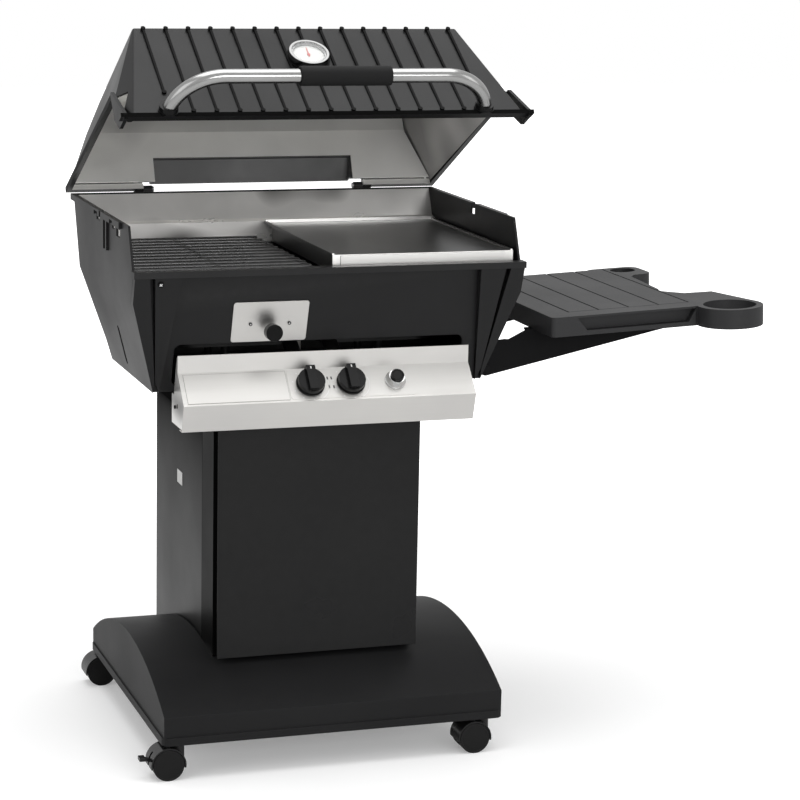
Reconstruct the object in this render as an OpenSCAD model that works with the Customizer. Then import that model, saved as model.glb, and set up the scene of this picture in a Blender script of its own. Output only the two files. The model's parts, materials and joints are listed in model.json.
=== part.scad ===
// Gas grill on a caster cart, lid open, with a fold-down side shelf.
// Millimetres. X across, front towards -Y, Z up from the floor.

/* [Casters] */
// Diameter of a caster wheel
wheel_d = 54; // [48:1:60]
// Width of one of the twin wheels
wheel_w = 15; // [12:1:18]
// Thickness of the web between the twin wheels
web_t = 14; // [12:1:18]
// Distance from swivel stem to axle
caster_trail = 20; // [16:1:26]
// Radius of the swivel stem
stem_r = 5.5; // [4:0.5:7]
// Length of the swivel stem above the hood
stem_l = 26; // [20:1:34]
// Radius of the wheel axle
axle_r = 3; // [2.5:0.5:4]
// Distance from the base corner to the stem, across
stem_in_x = 31; // [28:1:45]
// Distance from the base edge to the stem, front and back
stem_in_y = 24; // [24:1:45]

/* [Base] */
// Width of the base
base_w = 612; // [560:2:660]
// Depth of the base
base_d = 592; // [570:2:640]
// Wall of the moulded base cover
base_wall = 4; // [3:0.5:6]
// Height of the base arch above its lower edge
base_rise = 119; // [105:1:130]
// Radius of the base arch
arch_r = 600; // [560:10:700]
// Height of the lower lip of the base
lip_h = 14; // [8:1:20]
// How far the lower lip stands out
lip_out = 3; // [1:0.5:5]
// Height of the steel frame inside the base
frame_h = 20; // [14:1:26]
// Width of a rail of the base frame
rail_w = 42; // [34:1:50]
// Width of a cross bar of the base frame
cross_w = 40; // [30:1:50]

/* [Post] */
// Width of the post
post_w = 364; // [330:2:400]
// Height of the post's top above the floor
post_h = 640; // [620:5:660]
// Thickness of the post's top plate
plate_t = 4; // [3:0.5:5]
// Depth of the post without its door
post_d = 430; // [410:1:431]
// Sheet thickness of the post
sheet = 2; // [1.5:0.5:3]
// Depth of the front frame of the post
frame_d = 80; // [60:2:100]
// Width of the frame's front flange
flange_w = 18; // [12:1:24]
// How far the door face stands in front of the frame
door_proud = 31; // [24:1:40]
// How far below the post top the door ends
door_drop = 58; // [56:1:70]
// Radius of the door hinge pin
door_pin_r = 2.5; // [2:0.5:4]

/* [Firebox] */
// Width of the firebox above the belt
box_w = 684; // [670:2:700]
// Width of the firebox floor
floor_w = 588; // [560:2:610]
// Height of the firebox from floor to side walls' top
box_h = 288; // [280:1:310]
// Height of the front wall below the side walls' top
front_drop = 69.5; // [60:0.5:75]
// Height of the belt line above the firebox floor
belt_h = 163; // [150:1:180]
// Depth of the firebox floor
floor_d = 318; // [300:2:330]
// Depth of the firebox at the top
top_d = 494; // [480:2:510]
// Wall of the firebox casting
box_wall = 4; // [3.5:0.5:5]
// Height of the front rim bar
rim_h = 11; // [9:1:15]
// How far the front rim bar stands out
rim_out = 18; // [14:1:20]
// Height of the firebox floor above the post top
seat_gap = 4; // [3:0.5:6]

/* [Cooking surfaces] */
// Thickness of the cooking grid
grid_t = 12; // [10:1:14]
// Number of bars in the cooking grid
grid_bars = 13; // [9:1:15]
// Height of the griddle plate above the ledges
griddle_h = 35.5; // [30:0.5:37]
// Height of a ledge above the firebox floor
ledge_z = 198; // [194:1:202]
// Width of a ledge
ledge_w = 14; // [10:1:18]

/* [Gas train] */
// Width of the burner loops
burner_w = 220; // [180:2:240]
// Depth of the burner loops
burner_d = 200; // [170:2:230]
// Thickness of a burner
burner_t = 24; // [18:1:28]
// Radius of a mixer tube
mixer_r = 13; // [11:0.5:15]
// Radius of the gas manifold
manifold_r = 8; // [6:0.5:9]
// Radius of the valve stems
valve_stem_r = 3; // [2.5:0.5:4]
// Radius of the gas inlet's free end
inlet_r = 7; // [6:0.5:8]
// Radius of the hole for the hose in the right cheek
hose_hole_r = 10; // [9:0.5:11]

/* [Control panel] */
// Width of the control panel
panel_w = 518; // [490:2:540]
// Length of the slanted face
slant_l = 66; // [60:1:72]
// Angle of the slanted face's normal from straight up
slant_a = 46; // [40:1:52]
// Height of the upright band over the slanted face
band_h = 30; // [24:1:36]
// Height of the front band under the slanted face
skirt_h = 47; // [40:1:54]
// Sheet thickness of the control panel
panel_t = 1.5; // [1:0.25:2.5]
// Diameter of a burner knob
knob_d = 47; // [42:1:52]
// Height of a burner knob
knob_h = 24; // [20:1:28]
// Distance between the two burner knobs
knob_pitch = 72; // [64:1:84]
// Place of the middle of the two knobs
knob_mid = 2; // [-10:1:20]
// Place of the spark button
spark_x = 118; // [105:1:135]
// Diameter of the spark button
spark_d = 23; // [18:1:28]
// Travel of the spark button
spark_travel = 5; // [3:0.5:6]

/* [Shutter] */
// Width of the plate round the pull
pull_plate_w = 132; // [110:2:150]
// Height of the plate round the pull
pull_plate_h = 75.5; // [60:0.5:78]
// Place of the pull
pull_x = -100; // [-120:1:-90]
// Diameter of the pull knob
pull_d = 29; // [26:1:36]
// Travel of the shutter rod
shutter_travel = 30; // [20:1:36]
// Radius of the shutter rod
rod_r = 3; // [2.5:0.5:4]

/* [Lid] */
// How far the lid stands open
lid_open = 27.2; // [20:0.1:34]
// Width of the lid at its rim
lid_rim_w = 714; // [704:2:730]
// Width of the lid at its top edge
lid_top_w = 586; // [560:2:610]
// Height of the closed lid above the side walls
lid_h = 151; // [130:1:170]
// Height of the bar along the lid's front rim
lid_bar_h = 7; // [6:0.5:12]
// Wall of the lid casting
lid_wall = 5; // [4:0.5:6]
// Number of ribs on the lid face
rib_count = 15; // [9:2:19]
// Distance between ribs
rib_pitch = 39.3; // [34:0.1:40]
// Radius of a hinge pin
hinge_r = 3; // [2.5:0.5:3.5]
// Place of the lid hinges from the middle
hinge_x = 202; // [196:1:230]
// Width of the vent at the back of the lid
vent_w = 384; // [340:2:386]

/* [Handle] */
// Diameter of the handle tube
handle_d = 24; // [20:1:28]
// Distance between the handle's feet
handle_w = 550; // [500:2:570]
// Height of the handle above the lid face
handle_off = 76; // [70:1:90]
// Length of the soft grip
grip_l = 158; // [120:2:200]
// Place of the soft grip along the tube
grip_x = 10; // [-10:1:15]
// Diameter of the thermometer
dial_d = 70; // [60:1:76]

/* [Side shelf] */
// Width of the planked board
board_w = 282; // [260:2:300]
// Depth of the board
board_d = 440; // [420:2:460]
// Depth of the board's skirt
skirt = 35; // [30:1:40]
// Number of grooves in the board
groove_count = 5; // [3:1:7]
// Radius of the cup hole
cup_r = 47; // [42:1:50]
// Radius of the tool hole
tool_r = 24; // [20:1:28]
// Slope of the board
shelf_rise = 2.6; // [0:0.1:4]
// Radius of the shelf pivot bolts
pivot_r = 5; // [4:0.5:6]
// Thickness of a shelf arm
arm_t = 4; // [3:0.5:5]

/* [Drip can] */
// Radius of the drip can
can_r = 42; // [36:1:44]
// Height of the drip can
can_h = 60; // [50:1:64]
// Wall of the drip can
can_wall = 1.5; // [1:0.5:2.5]
// How far the lip of the can stands out
can_lip_out = 4; // [3:0.5:5]
// Thickness of the lip of the can
can_lip_t = 3; // [2:0.5:4]
// How far the floor of the can hangs below the top of the post
can_drop = 74; // [72:1:84]
// Width of the flange that holds the hanger up
hanger_flange_w = 50; // [40:1:56]

/* [Hidden] */
$fn = 48;
fit = 0.05;
gap = 0.3;
air = 1;
far = 450;
t_in = 12;

base_z = wheel_d / 2 + 3.5 + 3 + 30;
post_y0 = -185;
post_y1 = post_y0 + post_d;
base_behind = 10;
base_y1 = post_y1 + base_behind;
base_y0 = base_y1 - base_d;
base_top = base_z + base_rise;
arch_y = (base_y0 + base_y1) / 2 - 9;
// Height of the base arch at a depth
function arch_z(y) = base_top - arch_r + sqrt(arch_r * arch_r - pow(y - arch_y, 2));
frame_z = base_z + 2;
post_z0 = frame_z + frame_h;
post_top = post_h;
hw_post = post_w / 2;
pad_in = 62;
door_z0 = arch_z(post_y0) + 3;
door_z1 = post_top - door_drop;

box_z = post_top + seat_gap;
wall_z = box_z + box_h;
front_z = wall_z - front_drop;
belt_z = box_z + belt_h;
hw_box = box_w / 2;
hw_floor = floor_w / 2;
floor_y0 = -200;
floor_y1 = floor_y0 + floor_d;
top_y1 = 222;
top_y0 = top_y1 - top_d;
heel_z = box_z + 36;
ledge = box_z + ledge_z;
seat_z = ledge + gap;

hinge_y = top_y1 + 13;
hinge_z = wall_z + 4;
hip_in = 9;
hip_out = 17;
hip_drop = 45;
lid_round = 5;
// Outer face of the firebox front wall at a height
function front_y(z) = floor_y0 + (top_y0 - floor_y0) * (z - box_z) / (front_z - box_z);
// Outer face of the firebox back wall at a height
function back_y(z) = floor_y1 + (z < heel_z ? 0 : (top_y1 - floor_y1) * (z - heel_z) / (wall_z - heel_z));
// Half width of the firebox at a height
function side_x(z) = z > belt_z ? hw_box : hw_floor + (hw_box - hw_floor) * (z - box_z) / belt_h;

fold_y = -239;
fold_z = box_z + 38;
face_y = fold_y - slant_l * cos(slant_a) / 2;
face_z = fold_z - slant_l * sin(slant_a) / 2;
ridge_y = fold_y - slant_l * cos(slant_a);
ridge_z = fold_z - slant_l * sin(slant_a);
lower_y = ridge_y + 14;
lower_z = ridge_z - skirt_h;
screw_z = front_z - 21.5;
pilaster_screw_in = 44;
plate_screw_x = 34;
plate_screw_v = 13;
knob_left_x = knob_mid - knob_pitch / 2;
knob_right_x = knob_mid + knob_pitch / 2;
valve_deep = 40;
plate_lift = 0.1;
manifold_end = 40;
manifold_y = face_y + (valve_deep + manifold_r) * sin(slant_a);
manifold_z = face_z - (valve_deep + manifold_r) * cos(slant_a);
inlet_x0 = knob_right_x + manifold_end + 20;
cheek_hole_y = face_y + 34;
cheek_screw_y = face_y + 48;
cheek_screw_z = box_z - 24;

pull_z = box_z + 107;
shutter_tilt = atan2(top_y1 - floor_y1, wall_z - heel_z);

lid_z = wall_z + 2;
rim_z = front_z + 5.5;
hw_rim = lid_rim_w / 2;
hw_side = hw_box + 8;
hw_top = lid_top_w / 2;
lid_top = lid_z + lid_h;
face_y0 = top_y0 - 12;
face_z0 = rim_z + lid_bar_h - 0.5;
face_y1 = top_y0 + 118;
face_a = atan2(lid_top - face_z0, face_y1 - face_y0);
face_l = sqrt(pow(lid_top - face_z0, 2) + pow(face_y1 - face_y0, 2));
dial_v = face_l * 0.625;
fittings_x = -4;
handle_v = 5;
handle_lean = 5;
bend_dip = 11.5;
bend_r = handle_off + bend_dip;
bend_in = sqrt(bend_r * bend_r - pow(bend_dip + 6, 2));
bend_start = 13.5;
tube_wall = 1.5;
foot_r = 16;
foot_z = 5;

pivot_z = box_z + 13;
bracket_h = 52;
pivot_x = side_x(pivot_z) + 16.5;
board_x = pivot_x + 88;
board_top = pivot_z + 100;
board_y0 = -280;
arm_y0 = -182;
arm_y1 = 150;
cup_x = board_x + board_w + 53;
cup_y = board_y0 - 8;
cup_wall = 12;
lock_dx = 12;
lock_dz = 32;
lock_r = sqrt(lock_dx * lock_dx + lock_dz * lock_dz);
lock_a = atan2(lock_dz, lock_dx);
ear_r = lock_r + pivot_r + 6;

// The frame's origin is under the middle of the whole object
left_x = -(lid_rim_w / 2 + 4);
right_x = pivot_x + (cup_x + cup_r + cup_wall - pivot_x) * cos(shelf_rise)
    - (board_top - skirt - pivot_z) * sin(shelf_rise);
mid_x = (left_x + right_x) / 2;
front_most = cup_y - cup_r - cup_wall;
hip_y = hinge_y - hip_in - lid_round;
hip_z = lid_top - hip_drop - lid_round;
back_most = hinge_y + (hip_y - hinge_y) * cos(lid_open) + (hip_z - hinge_z) * sin(lid_open) + lid_round;
mid_y = (front_most + back_most) / 2;

module paint(c) {
    color(c) translate([-mid_x, -mid_y, 0]) children();
}

// A cylinder along X, from x0 to x1
module rod_x(x0, x1, r) {
    translate([x0, 0, 0]) rotate([0, 90, 0]) cylinder(h = x1 - x0, r = r);
}

// A cylinder along Y, from y0 to y1
module rod_y(y0, y1, r) {
    translate([0, y1, 0]) rotate([90, 0, 0]) cylinder(h = y1 - y0, r = r);
}

// A box between two corners
module slab(a, b) {
    translate(a) cube(b - a);
}

// A profile drawn in Y and Z, extruded along X from x0 to x1
module along_x(x0, x1) {
    translate([x0, 0, 0]) rotate([90, 0, 90]) linear_extrude(x1 - x0) children();
}

// A profile drawn in X and Z, extruded along Y from y0 to y1
module along_y(y0, y1) {
    translate([0, y1, 0]) rotate([90, 0, 0]) linear_extrude(y1 - y0) children();
}

// A rectangle with round corners
module round_rect(x0, y0, x1, y1, r) {
    translate([x0 + r, y0]) square([x1 - x0 - 2 * r, y1 - y0]);
    translate([x0, y0 + r]) square([x1 - x0, y1 - y0 - 2 * r]);
    for (x = [x0 + r, x1 - r]) for (y = [y0 + r, y1 - r]) translate([x, y]) circle(r);
}

module mirrored() {
    children();
    mirror([1, 0, 0]) children();
}

// Casters: the wheels trail towards -X at rest
caster_w = web_t + 2 * wheel_w + 2 * air;
hood_r = wheel_d / 2 + 3.5;
module caster_place(sx, sy) {
    x = sx * (base_w / 2 - stem_in_x);
    y = sy < 0 ? base_y0 + stem_in_y : base_y1 - stem_in_y;
    translate([x, y, 0]) children();
}

module caster_hood(sx, sy, lever) {
    color("#1c1c1e") translate([-mid_x, -mid_y, 0]) caster_place(sx, sy) difference() {
        union() {
            translate([-caster_trail, 0, wheel_d / 2]) intersection() {
                rod_y(-caster_w / 2, caster_w / 2, hood_r);
                slab([-hood_r, -caster_w, -5], [hood_r, caster_w, hood_r]);
            }
            translate([0, 0, wheel_d / 2]) cylinder(h = base_z - wheel_d / 2 - 2, r = stem_r + 6);
            translate([0, 0, base_z - 3]) cylinder(h = stem_l, r = stem_r);
        }
        for (s = [-1, 1])
            translate([-caster_trail, s * (web_t + caster_w) / 2, wheel_d / 2])
                rod_y(-caster_w / 2, caster_w / 2, wheel_d / 2 + air);
        translate([-caster_trail, 0, wheel_d / 2]) rod_y(-web_t, web_t, axle_r + fit);
        if (lever) {
            translate([-caster_trail, 0, wheel_d / 2]) {
                slab([-hood_r - 2, -3.5, -8], [-13, 3.5, 20]);
                translate([-20, 0, 4]) rod_y(-web_t, web_t, 2 + fit);
            }
        }
    }
}

module caster_wheels(sx, sy) {
    color("#141415") translate([-mid_x, -mid_y, 0]) caster_place(sx, sy)
        translate([-caster_trail, 0, wheel_d / 2]) {
            for (s = [-1, 1]) difference() {
                translate([0, s * (web_t / 2 + air + wheel_w / 2), 0])
                    rod_y(-wheel_w / 2, wheel_w / 2, wheel_d / 2);
                translate([0, s * (web_t / 2 + air + wheel_w), 0]) rod_y(-1, 1, wheel_d / 2 - 3);
            }
            rod_y(-web_t / 2 - air - 2, web_t / 2 + air + 2, axle_r);
        }
}

module brake_lever(sx, sy) {
    color("#2a2a2c") translate([-mid_x, -mid_y, 0]) caster_place(sx, sy)
        translate([-caster_trail - 20, 0, wheel_d / 2 + 4]) {
            rod_y(-web_t / 2, web_t / 2, 2);
            rod_y(-3, 3, 4.2);
            along_y(-3, 3) polygon([[0, -3.5], [0, 3.5], [-20, 8.5], [-20, 3]]);
            slab([-27, -8, 2.6], [-17, 8, 9]);
        }
}

module caster_hood_fl() { caster_hood(-1, -1, true); }
module caster_hood_fr() { caster_hood(1, -1, false); }
module caster_hood_bl() { caster_hood(-1, 1, false); }
module caster_hood_br() { caster_hood(1, 1, true); }
module caster_wheels_fl() { caster_wheels(-1, -1); }
module caster_wheels_fr() { caster_wheels(1, -1); }
module caster_wheels_bl() { caster_wheels(-1, 1); }
module caster_wheels_br() { caster_wheels(1, 1); }
module brake_lever_fl() { brake_lever(-1, -1); }
module brake_lever_br() { brake_lever(1, 1); }

// Base: an arched cover over a steel frame
module arch_profile(t) {
    intersection() {
        translate([arch_y, base_top - arch_r]) circle(arch_r - t, $fn = 180);
        translate([base_y0 + lip_out + t, base_z]) square([base_d - 2 * lip_out - 2 * t, base_rise]);
    }
}

module base_cover() {
    hw = base_w / 2;
    paint("#2b2b2d") difference() {
        union() {
            along_x(-hw + lip_out, hw - lip_out) arch_profile(0);
            translate([0, 0, base_z - 2]) linear_extrude(lip_h) round_rect(-hw, base_y0, hw, base_y1, 14);
        }
        difference() {
            along_x(-hw + lip_out + base_wall, hw - lip_out - base_wall) arch_profile(base_wall);
            slab([-hw_post - 10, post_y0 - 10, base_z + 60], [hw_post + 10, post_y0 - 2, base_top]);
        }
        slab([-hw + lip_out + base_wall, base_y0 + lip_out + base_wall, base_z - 5],
            [hw - lip_out - base_wall, base_y1 - lip_out - base_wall, base_z + 20]);
        slab([-hw_post - 2, post_y0 - 2, base_z + 20],
            [hw_post + 2, base_y1 - lip_out - base_wall, base_top + 5]);
    }
}

module base_frame() {
    hw = base_w / 2 - lip_out - base_wall - gap;
    y0 = base_y0 + lip_out + base_wall + gap;
    y1 = base_y1 - lip_out - base_wall - gap;
    paint("#3a3a3c") difference() {
        union() {
            mirrored() slab([hw - rail_w, y0, frame_z], [hw, y1, frame_z + frame_h]);
            for (y = [post_y0 - 5, post_y1 - cross_w])
                slab([-hw, y, frame_z], [hw, y + cross_w, frame_z + frame_h]);
            for (sx = [-1, 1]) for (sy = [-1, 1]) caster_place(sx, sy)
                translate([0, 0, base_z - 1]) cylinder(h = stem_l + 3, r = stem_r + 4);
        }
        for (sx = [-1, 1]) for (sy = [-1, 1]) caster_place(sx, sy)
            translate([0, 0, base_z - 2]) cylinder(h = stem_l, r = stem_r + fit);
    }
}

// Post: a rear shell, a front frame, a door and a top plate
module post_shell() {
    y = post_y0 + frame_d;
    paint("#202022") difference() {
        slab([-hw_post, y, post_z0], [hw_post, post_y1, post_top - plate_t]);
        slab([-hw_post + sheet, y - 1, post_z0 - 1], [hw_post - sheet, post_y1 - sheet, post_top]);
        for (i = [-3:3]) translate([i * 36, post_y1 - 8, post_top - 90]) rod_y(0, 12, 8);
    }
}

module post_frame() {
    y1 = post_y0 + frame_d - 0.6;
    in = hw_post - sheet;
    paint("#202022") difference() {
        union() {
            mirrored() {
                slab([hw_post - sheet, post_y0, post_z0], [hw_post, y1, post_top - plate_t]);
                slab([hw_post - flange_w, post_y0, post_z0], [hw_post, post_y0 + sheet, post_top - plate_t]);
                slab([in - 12, y1 - 1, post_z0], [in - gap, y1 + 14, post_top - plate_t]);
                slab([in - 12, y1 - 1, post_z0], [hw_post - 1, y1, post_top - plate_t]);
            }
            slab([-in, post_y0, door_z1 - 8], [in, post_y0 + sheet, post_top - plate_t]);
            slab([-in, post_y0, door_z1 - 8], [in, post_y0 + 26, door_z1 - 6]);
            slab([-in, post_y0, post_z0], [in, post_y0 + sheet, door_z0 + 12]);
            for (z = [door_z0 + 30, door_z1 - 50])
                door_hinge_place(z) union() {
                    cylinder(h = 20, r = door_pin_r + 3);
                    slab([-3, 0, 0], [5, post_y0 - door_py + 1, 20]);
                }
        }
        for (z = [door_z0 + 30, door_z1 - 50])
            door_hinge_place(z) translate([0, 0, -1]) cylinder(h = 22, r = door_pin_r + fit);
    }
}

// The door turns about an upright pin behind its right edge
door_px = hw_post - 11;
door_py = post_y0 - 13;
door_y = post_y0 - door_proud;
module door_hinge_place(z) {
    translate([door_px, door_py, z]) children();
}

module post_door() {
    y = door_y;
    paint("#1b1b1d") difference() {
        union() {
            slab([-hw_post, y, door_z0], [hw_post, y + sheet, door_z1]);
            slab([-hw_post + 14, y, door_z0], [-hw_post + 14 + sheet, post_y0 - 4, door_z1]);
            slab([hw_post - sheet, y, door_z0], [hw_post, door_py - 11, door_z1]);
            slab([-hw_post + 14, y, door_z0], [hw_post, door_py - 11, door_z0 + sheet]);
            slab([-hw_post + 14, y, door_z1 - sheet], [hw_post, door_py - 11, door_z1]);
            slab([-hw_post + 14, y, (door_z0 + door_z1) / 2 - 40],
                [-hw_post + 44, post_y0 - 4, (door_z0 + door_z1) / 2 + 40]);
            for (z = [door_z0 + 30 - 20.5, door_z1 - 50 + 20.5])
                door_hinge_place(z) union() {
                    cylinder(h = 20, r = door_pin_r + 3);
                    slab([-5, door_y - door_py + 1, 0], [4, 0, 20]);
                }
        }
        slab([-hw_post + 16, y + 6, (door_z0 + door_z1) / 2 - 34],
            [-hw_post + 40, post_y0, (door_z0 + door_z1) / 2 + 34]);
        for (z = [door_z0 + 30 - 20.5, door_z1 - 50 + 20.5])
            door_hinge_place(z) translate([0, 0, -1]) cylinder(h = 22, r = door_pin_r + fit);
    }
}

module door_hinge_pins() {
    paint("#9a9a9c") {
        door_hinge_place(door_z0 + 30 - 21.5) door_pin();
        door_hinge_place(door_z1 - 50 - 1.5) door_pin();
    }
}

module door_pin() {
    cylinder(h = 41.5, r = door_pin_r);
    translate([0, 0, -1.5]) cylinder(h = 2, r = door_pin_r + 1.5);
}

module post_top_plate() {
    paint("#2b2b2d") difference() {
        union() {
            slab([-hw_post, post_y0, post_top - plate_t], [hw_post, post_y1, post_top]);
            mirrored() slab([hw_post - sheet - 22, post_y0 + frame_d + 16, post_top - 22],
                [hw_post - sheet - gap, post_y1 - 30, post_top - 3]);
            mirrored() slab([hw_post - pad_in, floor_y0 + 25, post_top - 1],
                [hw_post - pad_in + 40, floor_y1 - 12, box_z - gap]);
        }
        slab([-90, -110, post_top - 6], [90, 60, post_top + 2]);
        mirrored() slab([hw_post - sheet - 19, post_y0 + 20, post_top - 24],
            [hw_post - sheet - 3, post_y1 - 20, post_top - 6]);
    }
}

module blank_label() {
    paint("#d8d8d6") slab([-hw_post - 0.7, 40, door_z1 - 162], [-hw_post - 0.1, 77, door_z1 - 138]);
}

// Firebox casting
module box_front_profile(t) {
    polygon([
        [-hw_floor + t, box_z + t], [hw_floor - t, box_z + t], [hw_box - t, belt_z], [hw_box - t, wall_z + 9],
        [-hw_box + t, wall_z + 9], [-hw_box + t, belt_z]
    ]);
}

module box_side_profile() {
    polygon([
        [floor_y0, box_z], [top_y0, front_z], [top_y0 + 10, front_z], [top_y0 + 40, wall_z],
        [top_y1, wall_z], [floor_y1, heel_z], [floor_y1, box_z]
    ]);
}

module box_hollow() {
    t = box_wall;
    intersection() {
        along_y(-far, far) box_front_profile(t);
        along_x(-far, far) polygon([
            [floor_y0 + t, box_z + t], [top_y0 + t, front_z], [top_y0 + t, wall_z + 9],
            [top_y1 - t, wall_z + 9], [top_y1 - t, wall_z], [floor_y1 - t, heel_z], [floor_y1 - t, box_z + t]
        ]);
    }
}

// Front face of a corner pilaster at a height
function pilaster_y(z) = floor_y0 - 7
    + (top_y0 - 14 - floor_y0 + 7) * (z - box_z) / (front_z - rim_h + 1 - box_z);

pilaster_tilt = atan2(floor_y0 + 7 - top_y0, front_z - rim_h + 1 - box_z);

// Corner pilaster of the front wall: two tapering panels with a groove
module pilaster() {
    intersection() {
        along_y(top_y0 - 15, floor_y0 + 3) union() {
            polygon([[hw_box - 25, front_z - rim_h + 1], [hw_box, front_z - rim_h + 1], [hw_box, belt_z],
                [hw_floor, box_z], [hw_floor - 1, box_z + 20]]);
            polygon([[hw_box - 80, front_z - rim_h + 1], [hw_box - 34, front_z - rim_h + 1],
                [hw_floor - 2, box_z + 20], [hw_floor - 10, box_z]]);
        }
        along_x(0, far) polygon([[top_y0 - 14, front_z - rim_h + 1], [floor_y0 - 7, box_z],
            [floor_y0 + 2, box_z], [top_y0 + 2, front_z - rim_h + 1]]);
    }
}

// A slanting slot with round ends through the left side, between two points in Y and Z
module side_slot(a, b, w) {
    along_x(-hw_box - 20, -hw_floor + 30) translate(a) rotate(atan2(b[1] - a[1], b[0] - a[0])) union() {
        translate([0, -w / 2]) square([norm(b - a), w]);
        circle(w / 2);
        translate([norm(b - a), 0]) circle(w / 2);
    }
}

// Sloping ledges along the front and back walls, their tops at a height
module ledges(z, w) {
    low = z - 14;
    along_x(-far, far) polygon([[front_y(low) + 2, low], [front_y(z) + 2, z],
        [front_y(z) + box_wall + w, z], [front_y(low) + box_wall + 1, low]]);
    along_x(-far, far) polygon([[back_y(low) - 2, low], [back_y(z) - 2, z],
        [back_y(z) - box_wall - w, z], [back_y(low) - box_wall - 1, low]]);
}

module firebox() {
    paint("#232325") difference() {
        union() {
            difference() {
                union() {
                    intersection() {
                        along_y(-far, far) box_front_profile(0);
                        along_x(-far, far) box_side_profile();
                    }
                    slab([-hw_box - 2, top_y0 - rim_out + 2, front_z - rim_h],
                        [hw_box + 2, top_y0 + 10, front_z]);
                    mirrored() slab([hw_box - 2, top_y0 + 90, wall_z - rim_h],
                        [hw_box + 5, top_y1 + 5, wall_z]);
                    slab([-hw_box - 5, top_y1 - 6, wall_z - rim_h], [hw_box + 5, top_y1 + 5, wall_z]);
                    mirrored() pilaster();
                    mirrored() for (y = [-49, -73])
                        slab([hw_box - 1, y - 4, wall_z - 62], [hw_box + 4, y + 4, wall_z - rim_h]);
                }
                box_hollow();
            }
            intersection() {
                along_y(-far, far) box_front_profile(1);
                union() {
                    ledges(ledge, ledge_w);
                    ledges(tent_z, 12);
                }
            }
            for (s = [-1, 1]) translate([s * hinge_x, hinge_y, hinge_z]) {
                rod_x(-8, 8, hinge_r + 3.5);
                slab([-8, -10, -rim_h - 4], [8, 0, 0]);
            }
            difference() {
                translate([pull_x, 0, pull_z]) rod_y(front_y(pull_z) - 1, boss_y, rod_r + 4);
                on_plate() slab([-20, -10, -20], [20, 1, 20]);
            }
            for (x = [-burner_w / 2 - 30, burner_w / 2 + 30]) for (y = [burner_y - 60, burner_y + 60])
                translate([x, y, box_z + 2]) cylinder(h = burner_z - gap - box_z - 2, r = 7);
        }
        for (s = [-1, 1]) translate([s * hinge_x, hinge_y, hinge_z]) rod_x(-10, 10, hinge_r + fit);
        translate([pull_x, front_y(pull_z) - 30, pull_z]) rod_y(0, 90, rod_r + fit);
        along_y(-300, floor_y0 + 6) round_rect(-262, box_z + 10, 252, box_z + 85, 12);
        translate([0, 0, box_z - 1]) cylinder(h = 9, r = 18);
        for (x = [-210, -140, 140, 210]) for (y = [-120, -40, 40])
            translate([x, y, box_z - 1]) cylinder(h = 9, r = 7);
        side_slot([-51, box_z + 84.5], [-37, box_z + 25.5], 13);
        slab([-hw_box - 20, -7, wall_z - 20], [-hw_box + 20, 21, wall_z - 4]);
        slab([-hw_box - 20, -130, wall_z - 19], [-hw_box + 20, -106, wall_z - 4]);
        slab([-hw_box - 20, -171, wall_z - 28], [-hw_box + 20, -141, wall_z - 15]);
        slab([-hw_box - 20, -34, wall_z - 12], [-hw_box + 20, -22, wall_z + 4]);
        slab([hw_box - 20, -39, wall_z - 20], [hw_box + 20, -17, wall_z + 4]);
        for (x = [-1, 0, 1]) translate([pull_x + x * 62, 0, 0]) along_y(80, 200)
            round_rect(-22, pull_z - 14, 22, pull_z + 12, 6);
    }
}

module firebox_liner() {
    t = 1.5;
    low = seat_z + grid_t - 12;
    step = seat_z + griddle_h + 2;
    yl = back_y(low) - box_wall - 2;
    ys = back_y(step) - box_wall - gap - 1;
    yt = top_y1 - box_wall - gap - 1;
    paint("#b9b9b6") intersection() {
        along_y(-far, far) box_front_profile(box_wall + 0.5);
        along_x(-far, far) polygon([
            [yl, low], [yl, step - 2], [ys, step + t], [yt, wall_z - 2],
            [yt - t, wall_z - 2], [ys - t, step + 2 * t], [yl - t, step], [yl - t, low]
        ]);
    }
}

// Burners
burner_z = box_z + 62;
burner_y = -35;
tent_z = box_z + 138;
module burner(s) {
    cx = s * (burner_w / 2 + 16);
    vx = s < 0 ? knob_left_x : knob_right_x;
    my = burner_y - burner_d / 2 + 20;
    mz = burner_t / 2 - 1;
    translate([0, 0, burner_z]) difference() {
        union() {
            linear_extrude(burner_t) difference() {
                round_rect(cx - burner_w / 2, burner_y - burner_d / 2, cx + burner_w / 2,
                    burner_y + burner_d / 2, 40);
                round_rect(cx - burner_w / 2 + 44, burner_y - burner_d / 2 + 44, cx + burner_w / 2 - 44,
                    burner_y + burner_d / 2 - 44, 20);
            }
            translate([0, 0, burner_t / 2 - 1.5]) linear_extrude(3)
                round_rect(cx - burner_w / 2 - 3, burner_y - burner_d / 2 - 3, cx + burner_w / 2 + 3,
                    burner_y + burner_d / 2 + 3, 43);
            translate([vx, my, mz]) rotate([90 + mixer_a, 0, 0])
                cylinder(h = mixer_l, r = mixer_r);
        }
        translate([vx, my, mz]) rotate([90 + mixer_a, 0, 0])
            translate([0, 0, 30]) cylinder(h = mixer_l, r = mixer_r - 2);
        for (i = [-4:4]) translate([cx + i * 18, 0, burner_t - 6])
            slab([-2, burner_y - burner_d / 2 - 1, 0], [2, burner_y - burner_d / 2 + 3, 4]);
        for (i = [-4:4]) translate([cx + i * 18, 0, burner_t - 6])
            slab([-2, burner_y + burner_d / 2 - 3, 0], [2, burner_y + burner_d / 2 + 1, 4]);
    }
}
mixer_a = 25;
mixer_l = 98;

module burner_left() { paint("#a9a9a6") burner(-1); }
module burner_right() { paint("#a9a9a6") burner(1); }

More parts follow.
